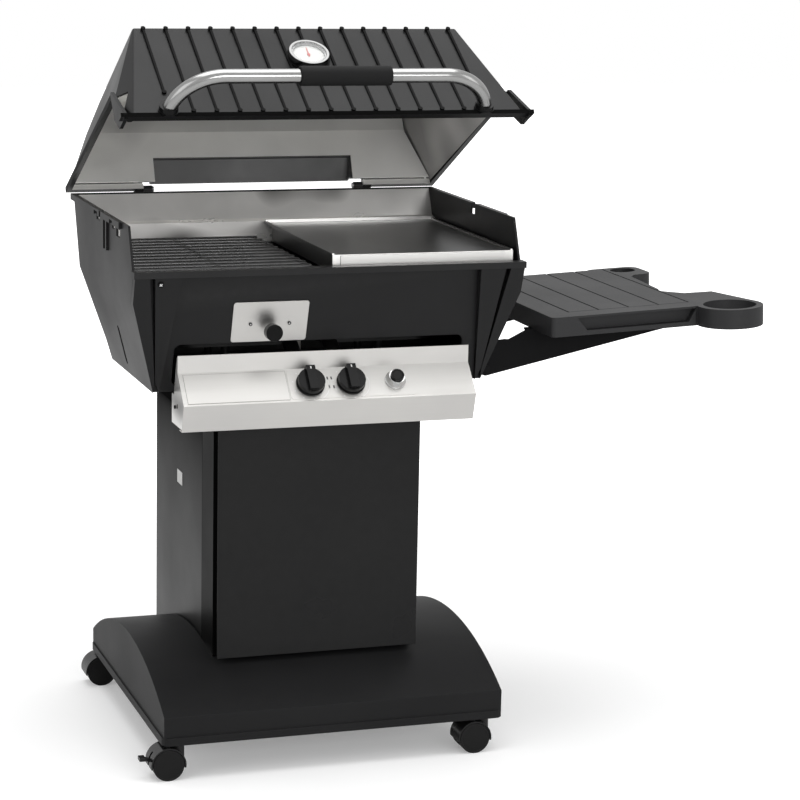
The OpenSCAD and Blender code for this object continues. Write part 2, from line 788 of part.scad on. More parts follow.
module spark_electrode() {
    paint("#efefec") {
        translate([0, burner_y - 35, box_z + box_wall + gap])
            cylinder(h = burner_z + burner_t - box_z - 14, r = 5);
        translate([0, burner_y - 35, burner_z + burner_t - 12]) cylinder(h = 18, r = 1.5);
    }
}

module heat_plates() {
    y0 = front_y(tent_z) + box_wall + 3;
    y1 = back_y(tent_z) - box_wall - 3;
    z = tent_z + gap;
    w = side_x(tent_z) - box_wall - 12;
    n = 6;
    p = (w - 8) / n;
    paint("#8f8f8c") mirrored() {
        for (i = [0:n - 1]) translate([4 + i * p, 0, 0]) along_y(y0, y1) polygon([
            [2, z], [p / 2, z + 16], [p - 2, z], [p - 4, z], [p / 2, z + 14], [4, z]
        ]);
        for (y = [y0 + 6, y1 - 14]) slab([4, y, z], [4 + n * p, y + 8, z + 2]);
    }
}

module cooking_grid() {
    y0 = front_y(ledge) + box_wall + 2;
    y1 = back_y(ledge) - box_wall - 6;
    x0 = -side_x(ledge) + box_wall + 8;
    x1 = -8;
    n = grid_bars;
    paint("#26262a") {
        for (i = [0:n - 1]) {
            y = y0 + 5 + (y1 - y0 - 10) * i / (n - 1);
            translate([0, y, seat_z + grid_t - 5]) rod_x(x0 + 4, x1 - 4, 4.8);
        }
        for (x = [x0, (x0 + x1) / 2 - 5, x1 - 10]) slab([x, y0, seat_z], [x + 10, y1, seat_z + grid_t - 4]);
    }
}

module griddle() {
    y0 = front_y(ledge) + box_wall + 2;
    y1 = back_y(ledge) - box_wall - 10;
    x0 = 4;
    x1 = side_x(ledge) - box_wall - 8;
    top = seat_z + griddle_h;
    t = 3;
    paint("#77787a") {
        slab([x0, y0 + 4, top - t], [x1, y1, top]);
        slab([x0 + 14, y0, seat_z], [x1 - 16, y0 + t, top - 0.5]);
        slab([x0 + 14, y1 - t, seat_z], [x1 - 16, y1, top - 1]);
        for (x = [x0 + 14, x1 - 16 - t]) slab([x, y0, seat_z], [x + t, y1, top - 1]);
        slab([x0, y0 + 2, top - 21.5], [x1, y0 + 6, top + 1]);
        slab([x0, y1 - 4, top - t], [x1, y1, top + 6]);
        for (x = [x0, x1 - 4]) slab([x, y0 + 4, top - t], [x + 4, y1, top + 3]);
        for (x = [x0 + 50, (x0 + x1) / 2, x1 - 60]) slab([x, y0 + 2, seat_z + 8], [x + 4, y1 - 2, top - 1]);
    }
}

// Grease: a can on a wire hanger under the drain hole
module drip_can() {
    paint("#b4b4b2") translate([0, 0, post_top - can_drop]) difference() {
        union() {
            cylinder(h = can_h, r = can_r);
            translate([0, 0, can_h - can_lip_t]) cylinder(h = can_lip_t, r = can_r + can_lip_out);
        }
        translate([0, 0, can_wall]) cylinder(h = can_h + 10, r = can_r - can_wall);
    }
}

module drip_hanger() {
    z = post_top - can_drop + can_h - can_lip_t - gap;
    x = can_r + can_lip_out + 2;
    y = x + 6;
    top = post_top - plate_t - gap;
    paint("#8b8b8d") {
        mirrored() {
            slab([x, -y, z - 3], [x + 2, y, top]);
            slab([can_r + 1, -y, z - 3], [x + 2, y, z]);
            slab([x, -y, top - 3 + gap], [x + hanger_flange_w, y, top]);
        }
        slab([-x - 2, y - 3, z - 3], [x + 2, y, z + 8]);
    }
}

// Shutter: a pull rod from the front plate to a flap over the rear vents
wall_tilt = atan2(floor_y0 - top_y0, front_z - box_z);
module on_plate() {
    translate([pull_x, front_y(pull_z), pull_z]) rotate([wall_tilt, 0, 0]) children();
}

module pull_plate() {
    paint("#cfcdca") on_plate() difference() {
        along_y(-2.5, -gap) round_rect(-pull_plate_w / 2, -pull_plate_h * 0.28, pull_plate_w / 2,
            pull_plate_h * 0.72, 5);
        rotate([-wall_tilt, 0, 0]) rod_y(-20, 20, rod_r + 2.5);
    }
}

shutter_y = back_y(pull_z) - box_wall - 2.2;
boss_y = front_y(pull_z) + 41;
shutter_stop = boss_y + shutter_travel + gap;
module shutter_rod() {
    paint("#a5a5a3") {
        translate([pull_x, 0, pull_z]) rod_y(front_y(pull_z) - 14, shutter_y + 1, rod_r);
        translate([pull_x, 0, pull_z]) rod_y(shutter_stop, shutter_stop + 5, rod_r + 3);
        translate([pull_x, front_y(pull_z), pull_z]) rod_y(-11.7, -5.7, rod_r + 4);
    }
}

module shutter_plate() {
    paint("#8f8f8c") translate([pull_x, shutter_y, pull_z]) difference() {
        rotate([-shutter_tilt, 0, 0]) slab([-98, -1, -24], [98, 1, 14]);
        rod_y(-20, 20, rod_r + fit);
    }
}

module shutter_knob() {
    y = front_y(pull_z);
    paint("#101011") translate([pull_x, y - 12, pull_z]) difference() {
        union() {
            rod_y(-26, -8, pull_d / 2);
            rod_y(-10, 0, pull_d / 2 - 6);
        }
        rod_y(-2.3, 2, rod_r + fit);
    }
}

// Control panel
module on_panel(x) {
    translate([x, face_y, face_z]) rotate([slant_a, 0, 0]) children();
}

module panel_profile(t) {
    polygon([
        [fold_y, fold_z + band_h], [fold_y, fold_z], [ridge_y, ridge_z], [lower_y, lower_z],
        [lower_y + 18, lower_z], [lower_y + 18, lower_z + t], [lower_y + t, lower_z + t],
        [ridge_y + 1.6 * t, ridge_z], [fold_y + t, fold_z - 0.6 * t], [fold_y + t, fold_z + band_h]
    ]);
}

module control_panel() {
    hw = panel_w / 2;
    paint("#cfccc8") difference() {
        union() {
            along_x(-hw, hw) panel_profile(panel_t);
            on_panel(0) slab([-hw + 8, -slant_l / 2 + 4, -0.5], [knob_left_x - 40, slant_l / 2 - 4, 0.8]);
        }
        for (x = [knob_left_x, knob_right_x]) on_panel(x)
            translate([0, 0, -6]) cylinder(h = 12, r = valve_stem_r + 2.5);
        on_panel(spark_x) translate([0, 0, -6]) cylinder(h = 12, r = spark_d / 2 + 0.4);
    }
}

module panel_cheeks() {
    hw = panel_w / 2;
    t = panel_t;
    paint("#8a8a88") difference() {
        mirrored() panel_cheek();
        translate([hw - 2 * t - 4, manifold_y, manifold_z]) rod_x(0, 2 * t + 8, hose_hole_r);
    }
}

module panel_cheek() {
    hw = panel_w / 2;
    t = panel_t;
    translate([hw - t - gap - 0.5, 0, 0]) difference() {
        union() {
            along_x(-t, 0) polygon([
                [fold_y + t + gap, fold_z + 24], [fold_y + t + gap, fold_z - t], [ridge_y + 3.4 * t, ridge_z],
                [lower_y + t + 1.5, lower_z + t + gap], [post_y0 - 4, lower_z + t + gap],
                [post_y0 - 4, box_z - 4],
                [floor_y0 - 5, box_z - 4], [floor_y0 - 5, box_z + 4], [front_y(fold_z + 24) - 1, fold_z + 24]
            ]);
            slab([-26, post_y0 - 4, lower_z + 8], [-t + 0.5, post_y0 - 2, box_z - 12]);
            slab([-58 - hw + hw_post, post_y0 - 4, lower_z + 8], [-t + 0.5, post_y0 - gap, lower_z + 24]);
        }
        translate([-4, cheek_hole_y, box_z - 20]) rod_x(0, 8, 4);
    }
}

module dial_plate() {
    x0 = knob_left_x - 38;
    x1 = spark_x + 34;
    paint("#dcdad6") difference() {
        on_panel(0) linear_extrude(0.9) round_rect(x0, -slant_l / 2 + 4, x1, slant_l / 2 - 4, 6);
        for (x = [knob_left_x, knob_right_x]) on_panel(x)
            translate([0, 0, -6]) cylinder(h = 12, r = valve_stem_r + 2.5);
        on_panel(spark_x) translate([0, 0, -6]) cylinder(h = 12, r = spark_d / 2 + 0.4);
        on_panel(0) translate([0, 0, -5]) linear_extrude(5 + plate_lift)
            square([2 * far, slant_l + 60], center = true);
    }
}

module valve(x) {
    on_panel(x) difference() {
        union() {
            translate([-12, -12, -valve_deep]) cube([24, 24, valve_deep - 8]);
            translate([0, 0, -10]) cylinder(h = 8, r = 9);
            translate([0, 11, -valve_deep + 12]) rotate([-90, 0, 0]) cylinder(h = 11, r = 6);
        }
        translate([0, 0, -26]) cylinder(h = 30, r = valve_stem_r + fit);
    }
}

module valve_left() { paint("#b89a55") valve(knob_left_x); }
module valve_right() { paint("#b89a55") valve(knob_right_x); }

module knob(x) {
    on_panel(x) union() {
        translate([0, 0, 2.2]) cylinder(h = 3, r = knob_d / 2 + 1.5);
        translate([0, 0, 4]) cylinder(h = knob_h - 12, r = knob_d / 2);
        translate([-8, -knob_d / 2 + 1, 4]) cube([16, knob_d, knob_h - 4]);
        translate([0, 0, -24]) cylinder(h = 30, r = valve_stem_r);
    }
}

module knob_left() { paint("#141415") knob(knob_left_x); }
module knob_right() { paint("#141415") knob(knob_right_x); }

// The manifold lies under the valves; its right end is the gas inlet
module gas_manifold() {
    paint("#c2c2c0") translate([0, manifold_y, manifold_z]) {
        difference() {
            rod_x(knob_left_x - manifold_end, inlet_x0, manifold_r);
            for (x = [knob_left_x, knob_right_x]) translate([x, 0, 0]) rotate([slant_a, 0, 0])
                translate([-13, -13, manifold_r - gap]) cube([26, 26, 10]);
        }
        rod_x(inlet_x0 - 1, inlet_x0 + 12, manifold_r + 3);
        rod_x(inlet_x0 + 10, inlet_x0 + 30, inlet_r);
    }
    paint("#c2c2c0") for (s = [-1, 1])
        slab([s * 17 + knob_mid - 5, manifold_y - 4, manifold_z - manifold_r - 4],
        [s * 17 + knob_mid + 5, post_y0 - gap, manifold_z - manifold_r + 2]);
}

module spark_collar() {
    paint("#cfcfcf") on_panel(spark_x) difference() {
        union() {
            translate([0, 0, 1.2]) cylinder(h = 3, r = spark_d / 2 + 6.5);
            translate([0, 0, 3]) cylinder(h = 13, r1 = spark_d / 2 + 6, r2 = spark_d / 2 + 2.5);
        }
        translate([0, 0, -1]) cylinder(h = 30, r = spark_d / 2 + fit);
    }
}

module spark_module() {
    paint("#2a2a2c") on_panel(spark_x) {
        translate([0, 0, -30]) cylinder(h = 16, r = spark_d / 2 + 3);
        difference() {
            translate([0, 0, -14.5]) cylinder(h = 12.2, r = spark_d / 2 + 3);
            translate([0, 0, -14]) cylinder(h = 30, r = spark_d / 2 + fit);
        }
    }
}

module spark_button() {
    paint("#101011") on_panel(spark_x) difference() {
        translate([0, 0, -14 + spark_travel + 2]) cylinder(h = 14 - spark_travel - 2 + 21, r = spark_d / 2);
        translate([0, 0, 20]) cylinder(h = 4, r = spark_d / 2 - 3);
    }
}

// Lid, drawn closed and then turned open about its hinge
module lid_turn() {
    translate([0, hinge_y, hinge_z]) rotate([-lid_open, 0, 0]) translate([0, -hinge_y, -hinge_z]) children();
}

module lid_solid(t) {
    r = lid_round;
    hull() mirrored() {
        for (p = [
            [hw_rim - 17 - t, face_y0 + t, rim_z - 30], [hw_rim - 2 - t, face_y0 + 42 + t, rim_z - 30],
            [hw_rim - 17 - t, face_y0 + t, face_z0 + r], [hw_rim - 2 - t, face_y0 + 42 + t, face_z0 + r],
            [hw_side - t, hinge_y - 20, lid_z - 40], [hw_side - t, hinge_y + 5 - t, lid_z - 40],
            [hw_side - t, hinge_y + 5 - t, lid_z + 8], [hw_side - t, face_y0 + 70, lid_z],
            [hw_top - t, face_y1 + 0.6 * t, lid_top - t], [hw_top - 2 - t, hinge_y - 60, lid_top - 3 - t],
            [hw_top + hip_out - t, hinge_y - hip_in - t, lid_top - hip_drop]
        ]) translate([p[0] - r, p[1] + (p[1] > 0 ? -r : r), p[2] - r]) sphere(r, $fn = 16);
    }
}

module lid_skirt_cut() {
    along_x(-far, far) polygon([
        [hinge_y + 60, lid_z], [top_y0 + 36, lid_z], [top_y0 + 6, rim_z], [top_y0 - 60, rim_z],
        [top_y0 - 60, rim_z - 120], [hinge_y + 60, rim_z - 120]
    ]);
}

// A place on the lid's front face: x across, v up the face, standing off along the normal
module on_face(x, v) {
    translate([x, face_y0, face_z0]) rotate([face_a, 0, 0]) translate([0, v, 0]) children();
}

module lid_casting() {
    vent_z = lid_z + 61;
    paint("#3a3a3c") lid_turn() difference() {
        union() {
            difference() {
                union() {
                    lid_solid(0);
                    along_x(-vent_w / 2, vent_w / 2) polygon([
                        [hinge_y - 14, vent_z], [hinge_y + 1, vent_z], [hinge_y + 25, lid_z + 20],
                        [hinge_y - 14, lid_z + 20]]);
                }
                lid_solid(lid_wall);
                lid_skirt_cut();
                along_x(-vent_w / 2 + 3, vent_w / 2 - 3) polygon([
                    [hinge_y - 40, vent_z - 4], [hinge_y - 2, vent_z - 4], [hinge_y + 21, lid_z + 20],
                    [hinge_y + 21, lid_z - 30], [hinge_y - 40, lid_z - 30]]);
                slab([-vent_w / 2 + 3, hinge_y - 40, lid_z - 30], [vent_w / 2 - 3, hinge_y + 60, lid_z + 20]);
            }
            slab([-hw_rim - 3, face_y0 - 5, rim_z], [hw_rim + 3, face_y0 + 14, rim_z + lid_bar_h]);
            mirrored() {
                slab([hw_side - 6, top_y0 + 70, lid_z], [hw_side + 3, hinge_y + 6, lid_z + 10]);
                slab([vent_w / 2 + 2, hinge_y - 8, lid_z], [hw_side, hinge_y + 6, lid_z + 10]);
                along_x(hw_box + 7, hw_box + 13) polygon([
                    [top_y0 + 66, lid_z + 9], [top_y0 + 55, rim_z + 23], [top_y0 + 25, rim_z - 4],
                    [top_y0 - 18, rim_z - 4], [top_y0 - 19, rim_z + 4], [top_y0 + 60, lid_z + 9]]);
                translate([hinge_x + 9, hinge_y, hinge_z]) rod_x(0, 16, hinge_r + 3.5);
            }
            for (i = [0:rib_count - 1]) {
                x = (i - (rib_count - 1) / 2) * rib_pitch;
                low = abs(x) > handle_w / 2 - foot_r ? 58 : 6;
                cut = abs(x) < rib_pitch / 2;
                on_face(x, 0) {
                    if (!cut) slab([-2, low, -6], [2, face_l - 3, 2.5]);
                    if (cut) slab([-2, low, -6], [2, dial_v - dial_d / 2 - 4, 2.5]);
                    if (cut) slab([-2, dial_v + dial_d / 2 + 4, -6], [2, face_l - 3, 2.5]);
                    translate([0, low, -4]) cylinder(h = 7.5, r = 4);
                    translate([0, face_l - 5, -6]) cylinder(h = 9.5, r = 4);
                }
            }
            on_face(fittings_x, handle_v) mirrored()
                translate([handle_w / 2, 0, -8]) cylinder(h = 8 + foot_z, r = foot_r + 1);
            on_face(fittings_x, dial_v) translate([0, 0, -6]) cylinder(h = 8.7, r = dial_d / 2 + 3);
        }
        mirrored() translate([hinge_x + 8, hinge_y, hinge_z]) rod_x(0, 20, hinge_r + fit);
        slab([-handle_w / 2 - 30, face_y0 - 30, rim_z - 30], [handle_w / 2 + 30, top_y0 + 6, rim_z]);
        on_face(fittings_x, dial_v) translate([0, 0, -20]) cylinder(h = 40, r = 5);
        mirrored() translate([hinge_x - 13, hinge_y - 12, lid_z - 8]) cube([22, 24, 24]);
    }
}

module lid_liner() {
    t = 1.5;
    in = lid_wall + 2;
    paint("#b3b2ae") lid_turn() difference() {
        intersection() {
            along_y(-far, far) polygon([[-hw_side + in + 2, lid_z + 11], [hw_side - in - 2, lid_z + 11],
                [hw_top - in - 6.5, lid_top], [-hw_top + in + 6.5, lid_top]]);
            along_x(-far, far) polygon([
                [hinge_y - in - 6, lid_z + 11], [hinge_y - in - 13, lid_top - 47],
                [hinge_y - 64, lid_top - in - 5],
                [face_y1 + 14, lid_top - in - 2], [face_y1 + 14, lid_top - in - 2 - t],
                [hinge_y - 64 - t / 2, lid_top - in - 5 - t], [hinge_y - in - 13 - t, lid_top - 47],
                [hinge_y - in - 6 - t, lid_z + 11]]);
        }
        slab([-vent_w / 2 + 2, hinge_y - 60, lid_z - 10], [vent_w / 2 - 2, hinge_y + 40, lid_z + 56]);
    }
}

module lid_hinge_pins() {
    paint("#a0a0a2") mirrored() translate([hinge_x, hinge_y, hinge_z]) {
        rod_x(-9, 26, hinge_r);
        rod_x(-11, -8 - gap, hinge_r + 2);
    }
}

// A round bar along the handle's centre line, its bent ends running down through the lid face
module handle_bar(r) {
    x = handle_w / 2 - bend_in;
    mirrored() translate([x, 0, -bend_dip]) rotate([90, 0, 0])
        rotate_extrude(angle = 90) translate([bend_r, 0]) circle(r);
    translate([0, 0, handle_off]) rod_x(-x, x, r);
}

module handle_tube() {
    x = handle_w / 2 - bend_in;
    paint("#c9c9c9") lid_turn() on_face(fittings_x, handle_v) rotate([handle_lean, 0, 0]) difference() {
        handle_bar(handle_d / 2);
        translate([0, 0, handle_off]) rod_x(-x + 1, x - 1, handle_d / 2 - tube_wall);
        mirrored() translate([x, 0, -bend_dip]) rotate([0, -bend_start, 0])
            slab([0, -handle_d, -2 * handle_d], [bend_r + handle_d, handle_d, 0]);
    }
}

module handle_grip() {
    paint("#19191a") lid_turn() on_face(fittings_x, handle_v) rotate([handle_lean, 0, 0])
        translate([grip_x - fittings_x, 0, handle_off]) difference() {
            rod_x(-grip_l / 2, grip_l / 2, handle_d / 2 + 4.5);
            rod_x(-grip_l, grip_l, handle_d / 2 + 0.1);
        }
}

module handle_feet() {
    paint("#19191a") lid_turn() on_face(fittings_x, handle_v) difference() {
        mirrored() translate([handle_w / 2, 0, foot_z + 0.2]) cylinder(h = 8, r = foot_r);
        rotate([handle_lean, 0, 0]) handle_bar(handle_d / 2 + 0.1);
    }
}

// Thermometer
module thermometer_case() {
    paint("#c6c6c6") lid_turn() on_face(fittings_x, dial_v) difference() {
        union() {
            translate([0, 0, 3]) cylinder(h = 12, r = dial_d / 2);
            translate([0, 0, -46]) cylinder(h = 50, r = 4);
            translate([0, 0, -lid_wall - 6]) cylinder(h = 4, r = 9);
        }
        translate([0, 0, 7]) cylinder(h = 10, r = dial_d / 2 - 8);
        translate([0, 0, 12]) cylinder(h = 10, r = dial_d / 2 - 5);
        translate([0, 0, 5]) cylinder(h = 10, r = 1.25 + fit);
    }
}

module thermometer_dial() {
    paint("#f0f0ee") lid_turn() on_face(fittings_x, dial_v) difference() {
        translate([0, 0, 7.02]) cylinder(h = 1, r = dial_d / 2 - 8 - fit);
        translate([0, 0, 5]) cylinder(h = 10, r = 1.25 + fit);
    }
}

module thermometer_needle() {
    paint("#b3261e") lid_turn() on_face(fittings_x, dial_v) {
        translate([0, 0, 5.4]) cylinder(h = 4.6, r = 1.25);
        translate([0, 0, 8.6]) cylinder(h = 1, r = 3);
        translate([0, 0, 8.6]) linear_extrude(0.8) polygon([[-1.4, -6], [1.4, -6], [0.5, dial_d / 2 - 14],
            [-0.5, dial_d / 2 - 14]]);
    }
}

module thermometer_glass() {
    paint([0.85, 0.9, 0.92, 0.35]) lid_turn() on_face(fittings_x, dial_v)
        translate([0, 0, 12.02]) cylinder(h = 1.8, r = dial_d / 2 - 5 - fit);
}

// Side shelf, drawn level and then turned up about its pivot
module shelf_turn() {
    translate([pivot_x, 0, pivot_z]) rotate([0, -shelf_rise, 0])
        translate([-pivot_x, 0, -pivot_z]) children();
}

module board_plan() {
    x1 = board_x + board_w;
    y1 = board_y0 + board_d;
    round_rect(board_x, board_y0, x1, y1, 10);
    difference() {
        union() {
            polygon([[x1 - 20, board_y0], [cup_x - 30, board_y0 + 2], [cup_x + 30, board_y0 + 30],
                [cup_x + 16, board_y0 + 128], [cup_x - 24, board_y0 + 132],
                [x1 + 6, board_y0 + 160], [x1 - 20, board_y0 + 200]]);
            translate([cup_x, cup_y]) circle(cup_r + cup_wall, $fn = 72);
            polygon([[cup_x + 28, board_y0 + 128], [cup_x - 20, board_y0 + 128],
                [cup_x, cup_y], [cup_x + cup_r + cup_wall - 0.5, cup_y + 6]]);
            round_rect(x1 - 40, y1 - 84, x1 + 66, y1 + 8, 22);
            polygon([[x1 - 20, board_y0 + 190], [x1 + 4, board_y0 + 190],
                [x1 + 14, y1 - 100], [x1 + 40, y1 - 70], [x1 - 20, y1 - 60]]);
        }
    }
}

module board_holes(extra) {
    translate([cup_x, cup_y]) circle(cup_r + extra, $fn = 72);
    translate([board_x + board_w + 28, board_y0 + board_d - 26]) circle(tool_r + extra);
}

module shelf_board() {
    z0 = board_top - skirt;
    x1 = board_x + board_w;
    y1 = board_y0 + board_d;
    t = 4;
    pitch = (board_w - 52) / (groove_count - 1);
    paint("#3c3c3f") shelf_turn() difference() {
        translate([0, 0, z0]) linear_extrude(skirt) board_plan();
        translate([0, 0, z0 - 1]) linear_extrude(skirt + 2) board_holes(0);
        difference() {
            slab([board_x + t, board_y0 + t + 20, z0 - 1], [x1 - t, y1 - t, board_top - t]);
            for (i = [1:3]) slab([board_x, board_y0 + i * board_d / 4 - 2, z0 + 6],
                [x1, board_y0 + i * board_d / 4 + 2, board_top]);
        }
        for (i = [0:groove_count - 1])
            slab([board_x + 48 + i * pitch - 1.5, board_y0 + 42, board_top - 2],
                [board_x + 48 + i * pitch + 1.5, y1 + 1, board_top + 1]);
        slab([board_x + 46.5, board_y0 + 42, board_top - 2],
            [board_x + 48 + pitch * (groove_count - 1), board_y0 + 44, board_top + 1]);
        along_y(board_y0 - 1, board_y0 + 15) polygon([
            [board_x + 48, board_top - 4], [board_x + 66, board_top - skirt + 8],
            [x1 - 22, board_top - skirt + 8], [x1 - 8, board_top - 4]]);
    }
}

arm_tip = board_x + board_w + 20;
module arm_outline() {
    z1 = board_top - skirt - gap;
    difference() {
        union() {
            polygon([
                [pivot_x, pivot_z - 13], [arm_tip, z1 - 12], [arm_tip, z1], [board_x - 8, z1],
                [pivot_x + 44, pivot_z + 49], [pivot_x + 36, pivot_z + 50], [pivot_x + 3, pivot_z + 48],
                [pivot_x - 12, pivot_z + 6]
            ]);
            translate([pivot_x, pivot_z]) circle(13);
        }
        translate([pivot_x, pivot_z]) circle(pivot_r + fit);
        translate([pivot_x + lock_dx, pivot_z + lock_dz]) circle(4 + fit);
    }
}

module shelf_arms() {
    z1 = board_top - skirt - gap;
    paint("#2a2a2c") shelf_turn() for (y = [arm_y0, arm_y1]) {
        along_y(y, y + arm_t) arm_outline();
        slab([board_x - 8, y < 0 ? y : y + arm_t - 20, z1 - arm_t],
            [arm_tip - 40, y < 0 ? y + 20 : y + arm_t, z1]);
        slab([board_x + t_in, y < 0 ? y : y + arm_t - 6, z1 - 2],
            [board_x + board_w - t_in, y < 0 ? y + 6 : y + arm_t, z1]);
    }
}

// Wall bracket: two ears on a web that lies on the firebox's sloping side
module shelf_bracket() {
    ya = arm_y0 + arm_t + gap;
    yb = arm_y1 - gap;
    zt = pivot_z + bracket_h;
    x0 = side_x(box_z + 6) + gap;
    x1 = side_x(zt) + gap;
    paint("#2a2a2c") difference() {
        union() {
            along_y(ya, yb) polygon([[x0, box_z + 6], [x1, zt], [x1 + 4, zt], [x0 + 4, box_z + 6]]);
            for (y = [ya, yb - 4]) along_y(y, y + 4) union() {
                polygon([[x0, box_z + 6], [x1, zt], [pivot_x + 16, zt], [pivot_x + 14, pivot_z - 8],
                    [pivot_x - 4, pivot_z - 11]]);
                intersection() {
                    translate([pivot_x, pivot_z]) circle(ear_r);
                    polygon([[pivot_x, pivot_z - 6], [pivot_x + 1, pivot_z + 70],
                        [pivot_x + 70, pivot_z + 60],
                        [pivot_x + 60, pivot_z - 3], [pivot_x + 8, pivot_z - 9]]);
                }
            }
        }
        for (y = [ya, yb - 4]) along_y(y - 1, y + 5) {
            translate([pivot_x, pivot_z]) circle(pivot_r + fit);
            difference() {
                translate([pivot_x, pivot_z]) circle(lock_r + 4.5);
                translate([pivot_x, pivot_z]) circle(lock_r - 4.5);
                slot_wedge();
            }
            for (a = [lock_a + shelf_rise, lock_a - 90])
                translate([pivot_x + lock_r * cos(a), pivot_z + lock_r * sin(a)])
                circle(4.5);
        }
    }
}

// What the arc slot leaves standing: all directions outside the lock bolt's swing
module slot_wedge() {
    a0 = lock_a + shelf_rise;
    a1 = lock_a - 90;
    r = ear_r * 3;
    polygon(concat([[pivot_x, pivot_z]], [for (i = [0:6]) let(a = a0 + (a1 + 360 - a0) * i / 6)
        [pivot_x + r * cos(a), pivot_z + r * sin(a)]]));
}

module bolt_y(y0, y1, r) {
    rod_y(y0, y1, r);
    rod_y(y0 - 3, y0, r + 1.5);
}

module shelf_pivot_bolts() {
    paint("#4a4a4c") translate([pivot_x, 0, pivot_z]) {
        bolt_y(arm_y0 - gap, arm_y0 + arm_t + gap + 4 + 3, pivot_r);
        mirror([0, 1, 0]) bolt_y(-(arm_y1 + arm_t + gap), -(arm_y1 - gap - 4 - 3), pivot_r);
    }
}

module shelf_lock_bolts() {
    paint("#4a4a4c") shelf_turn() translate([pivot_x + lock_dx, 0, pivot_z + lock_dz]) {
        bolt_y(arm_y0 - gap, arm_y0 + arm_t + gap + 4 + 3, 4);
        mirror([0, 1, 0]) bolt_y(-(arm_y1 + arm_t + gap), -(arm_y1 - gap - 4 - 3), 4);
    }
}

// Screw heads on the casting, the pull plate and the control panel cheeks
module screws() {
    paint("#2f2f31") {
        translate([pilaster_screw_in - hw_box, pilaster_y(screw_z), screw_z])
            rotate([pilaster_tilt, 0, 0]) rod_y(-2.5, -gap, 5);
        on_plate() mirrored() translate([plate_screw_x, 0, plate_screw_v]) rod_y(-4.2, -2.5 - gap, 3);
        mirrored() translate([panel_w / 2 - 2, cheek_screw_y, cheek_screw_z]) rod_x(0, 1.7, 3);
    }
}

base_cover();
base_frame();
caster_hood_fl();
caster_hood_fr();
caster_hood_bl();
caster_hood_br();
caster_wheels_fl();
caster_wheels_fr();
caster_wheels_bl();
caster_wheels_br();
brake_lever_fl();
brake_lever_br();
post_shell();
post_frame();
post_top_plate();
post_door();
door_hinge_pins();
blank_label();
firebox();
firebox_liner();
burner_left();
burner_right();
spark_electrode();
heat_plates();
cooking_grid();
griddle();
drip_can();
drip_hanger();
pull_plate();
shutter_rod();
shutter_plate();
shutter_knob();
control_panel();
panel_cheeks();
dial_plate();
valve_left();
valve_right();
knob_left();
knob_right();
gas_manifold();
spark_collar();
spark_module();
spark_button();
lid_casting();
lid_liner();
lid_hinge_pins();
handle_tube();
handle_grip();
handle_feet();
thermometer_case();
thermometer_dial();
thermometer_needle();
thermometer_glass();
shelf_board();
shelf_arms();
shelf_bracket();
shelf_pivot_bolts();
shelf_lock_bolts();
screws();
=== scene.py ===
import bpy, bmesh, json, math
from mathutils import Matrix, Vector


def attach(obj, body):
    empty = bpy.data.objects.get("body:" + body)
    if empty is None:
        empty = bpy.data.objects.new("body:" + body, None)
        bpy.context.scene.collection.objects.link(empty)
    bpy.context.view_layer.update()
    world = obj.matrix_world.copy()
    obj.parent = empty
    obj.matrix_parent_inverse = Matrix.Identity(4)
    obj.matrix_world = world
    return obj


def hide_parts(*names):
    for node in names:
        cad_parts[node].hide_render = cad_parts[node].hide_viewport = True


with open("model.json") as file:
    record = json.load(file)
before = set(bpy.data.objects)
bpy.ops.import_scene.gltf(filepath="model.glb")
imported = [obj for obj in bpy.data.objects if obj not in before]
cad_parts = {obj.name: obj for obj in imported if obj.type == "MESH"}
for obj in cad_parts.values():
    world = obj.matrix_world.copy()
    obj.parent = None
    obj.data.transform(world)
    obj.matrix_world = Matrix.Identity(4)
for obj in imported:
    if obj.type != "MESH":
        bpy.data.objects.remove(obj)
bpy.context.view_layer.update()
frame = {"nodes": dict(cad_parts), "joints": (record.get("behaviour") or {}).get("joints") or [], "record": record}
nodes = frame["nodes"]
record = frame["record"]
slotOf = {s["node"]: s["material_slot"] for s in record["subparts"]}
bodyOf = {n: b for b, members in record["behaviour"]["bodies"].items() for n in members}
joints = {j["name"]: j for j in frame["joints"]}
# the drawing's own origin, found from the left knob, whose place in the drawing is known
knobDrawn = Vector((-0.034, -0.261924, 0))
drawn = Vector(joints["knob_left_turn"]["pos_m"]) - knobDrawn
drawn.z = 0
print("frame loaded:", len(nodes), "nodes")


cameraSetup = {
    "place": (-1.253, -4.356, 1.498),
    "yaw": 0.3253,
    "pitch": 0.1995,
    "roll": 0.02066,
    "lens": 115.29,
}


def makeCamera(setup):
    yaw, pitch, roll = setup["yaw"], setup["pitch"], setup["roll"]
    forward = Vector((math.sin(yaw) * math.cos(pitch), math.cos(yaw) * math.cos(pitch), -math.sin(pitch)))
    side = Vector((math.cos(yaw), -math.sin(yaw), 0))
    up = side.cross(forward)
    turnedSide = math.cos(roll) * side + math.sin(roll) * up
    turnedUp = -math.sin(roll) * side + math.cos(roll) * up
    data = bpy.data.cameras.new("camera")
    data.lens = setup["lens"]
    data.sensor_width = 36
    data.clip_end = 50
    camera = bpy.data.objects.new("camera", data)
    bpy.context.scene.collection.objects.link(camera)
    turn = Matrix((turnedSide, turnedUp, -forward)).transposed()
    camera.matrix_world = Matrix.Translation(Vector(setup["place"]) + drawn) @ turn.to_4x4()
    bpy.context.scene.camera = camera


makeCamera(cameraSetup)
bpy.context.scene.view_settings.view_transform = "Standard"

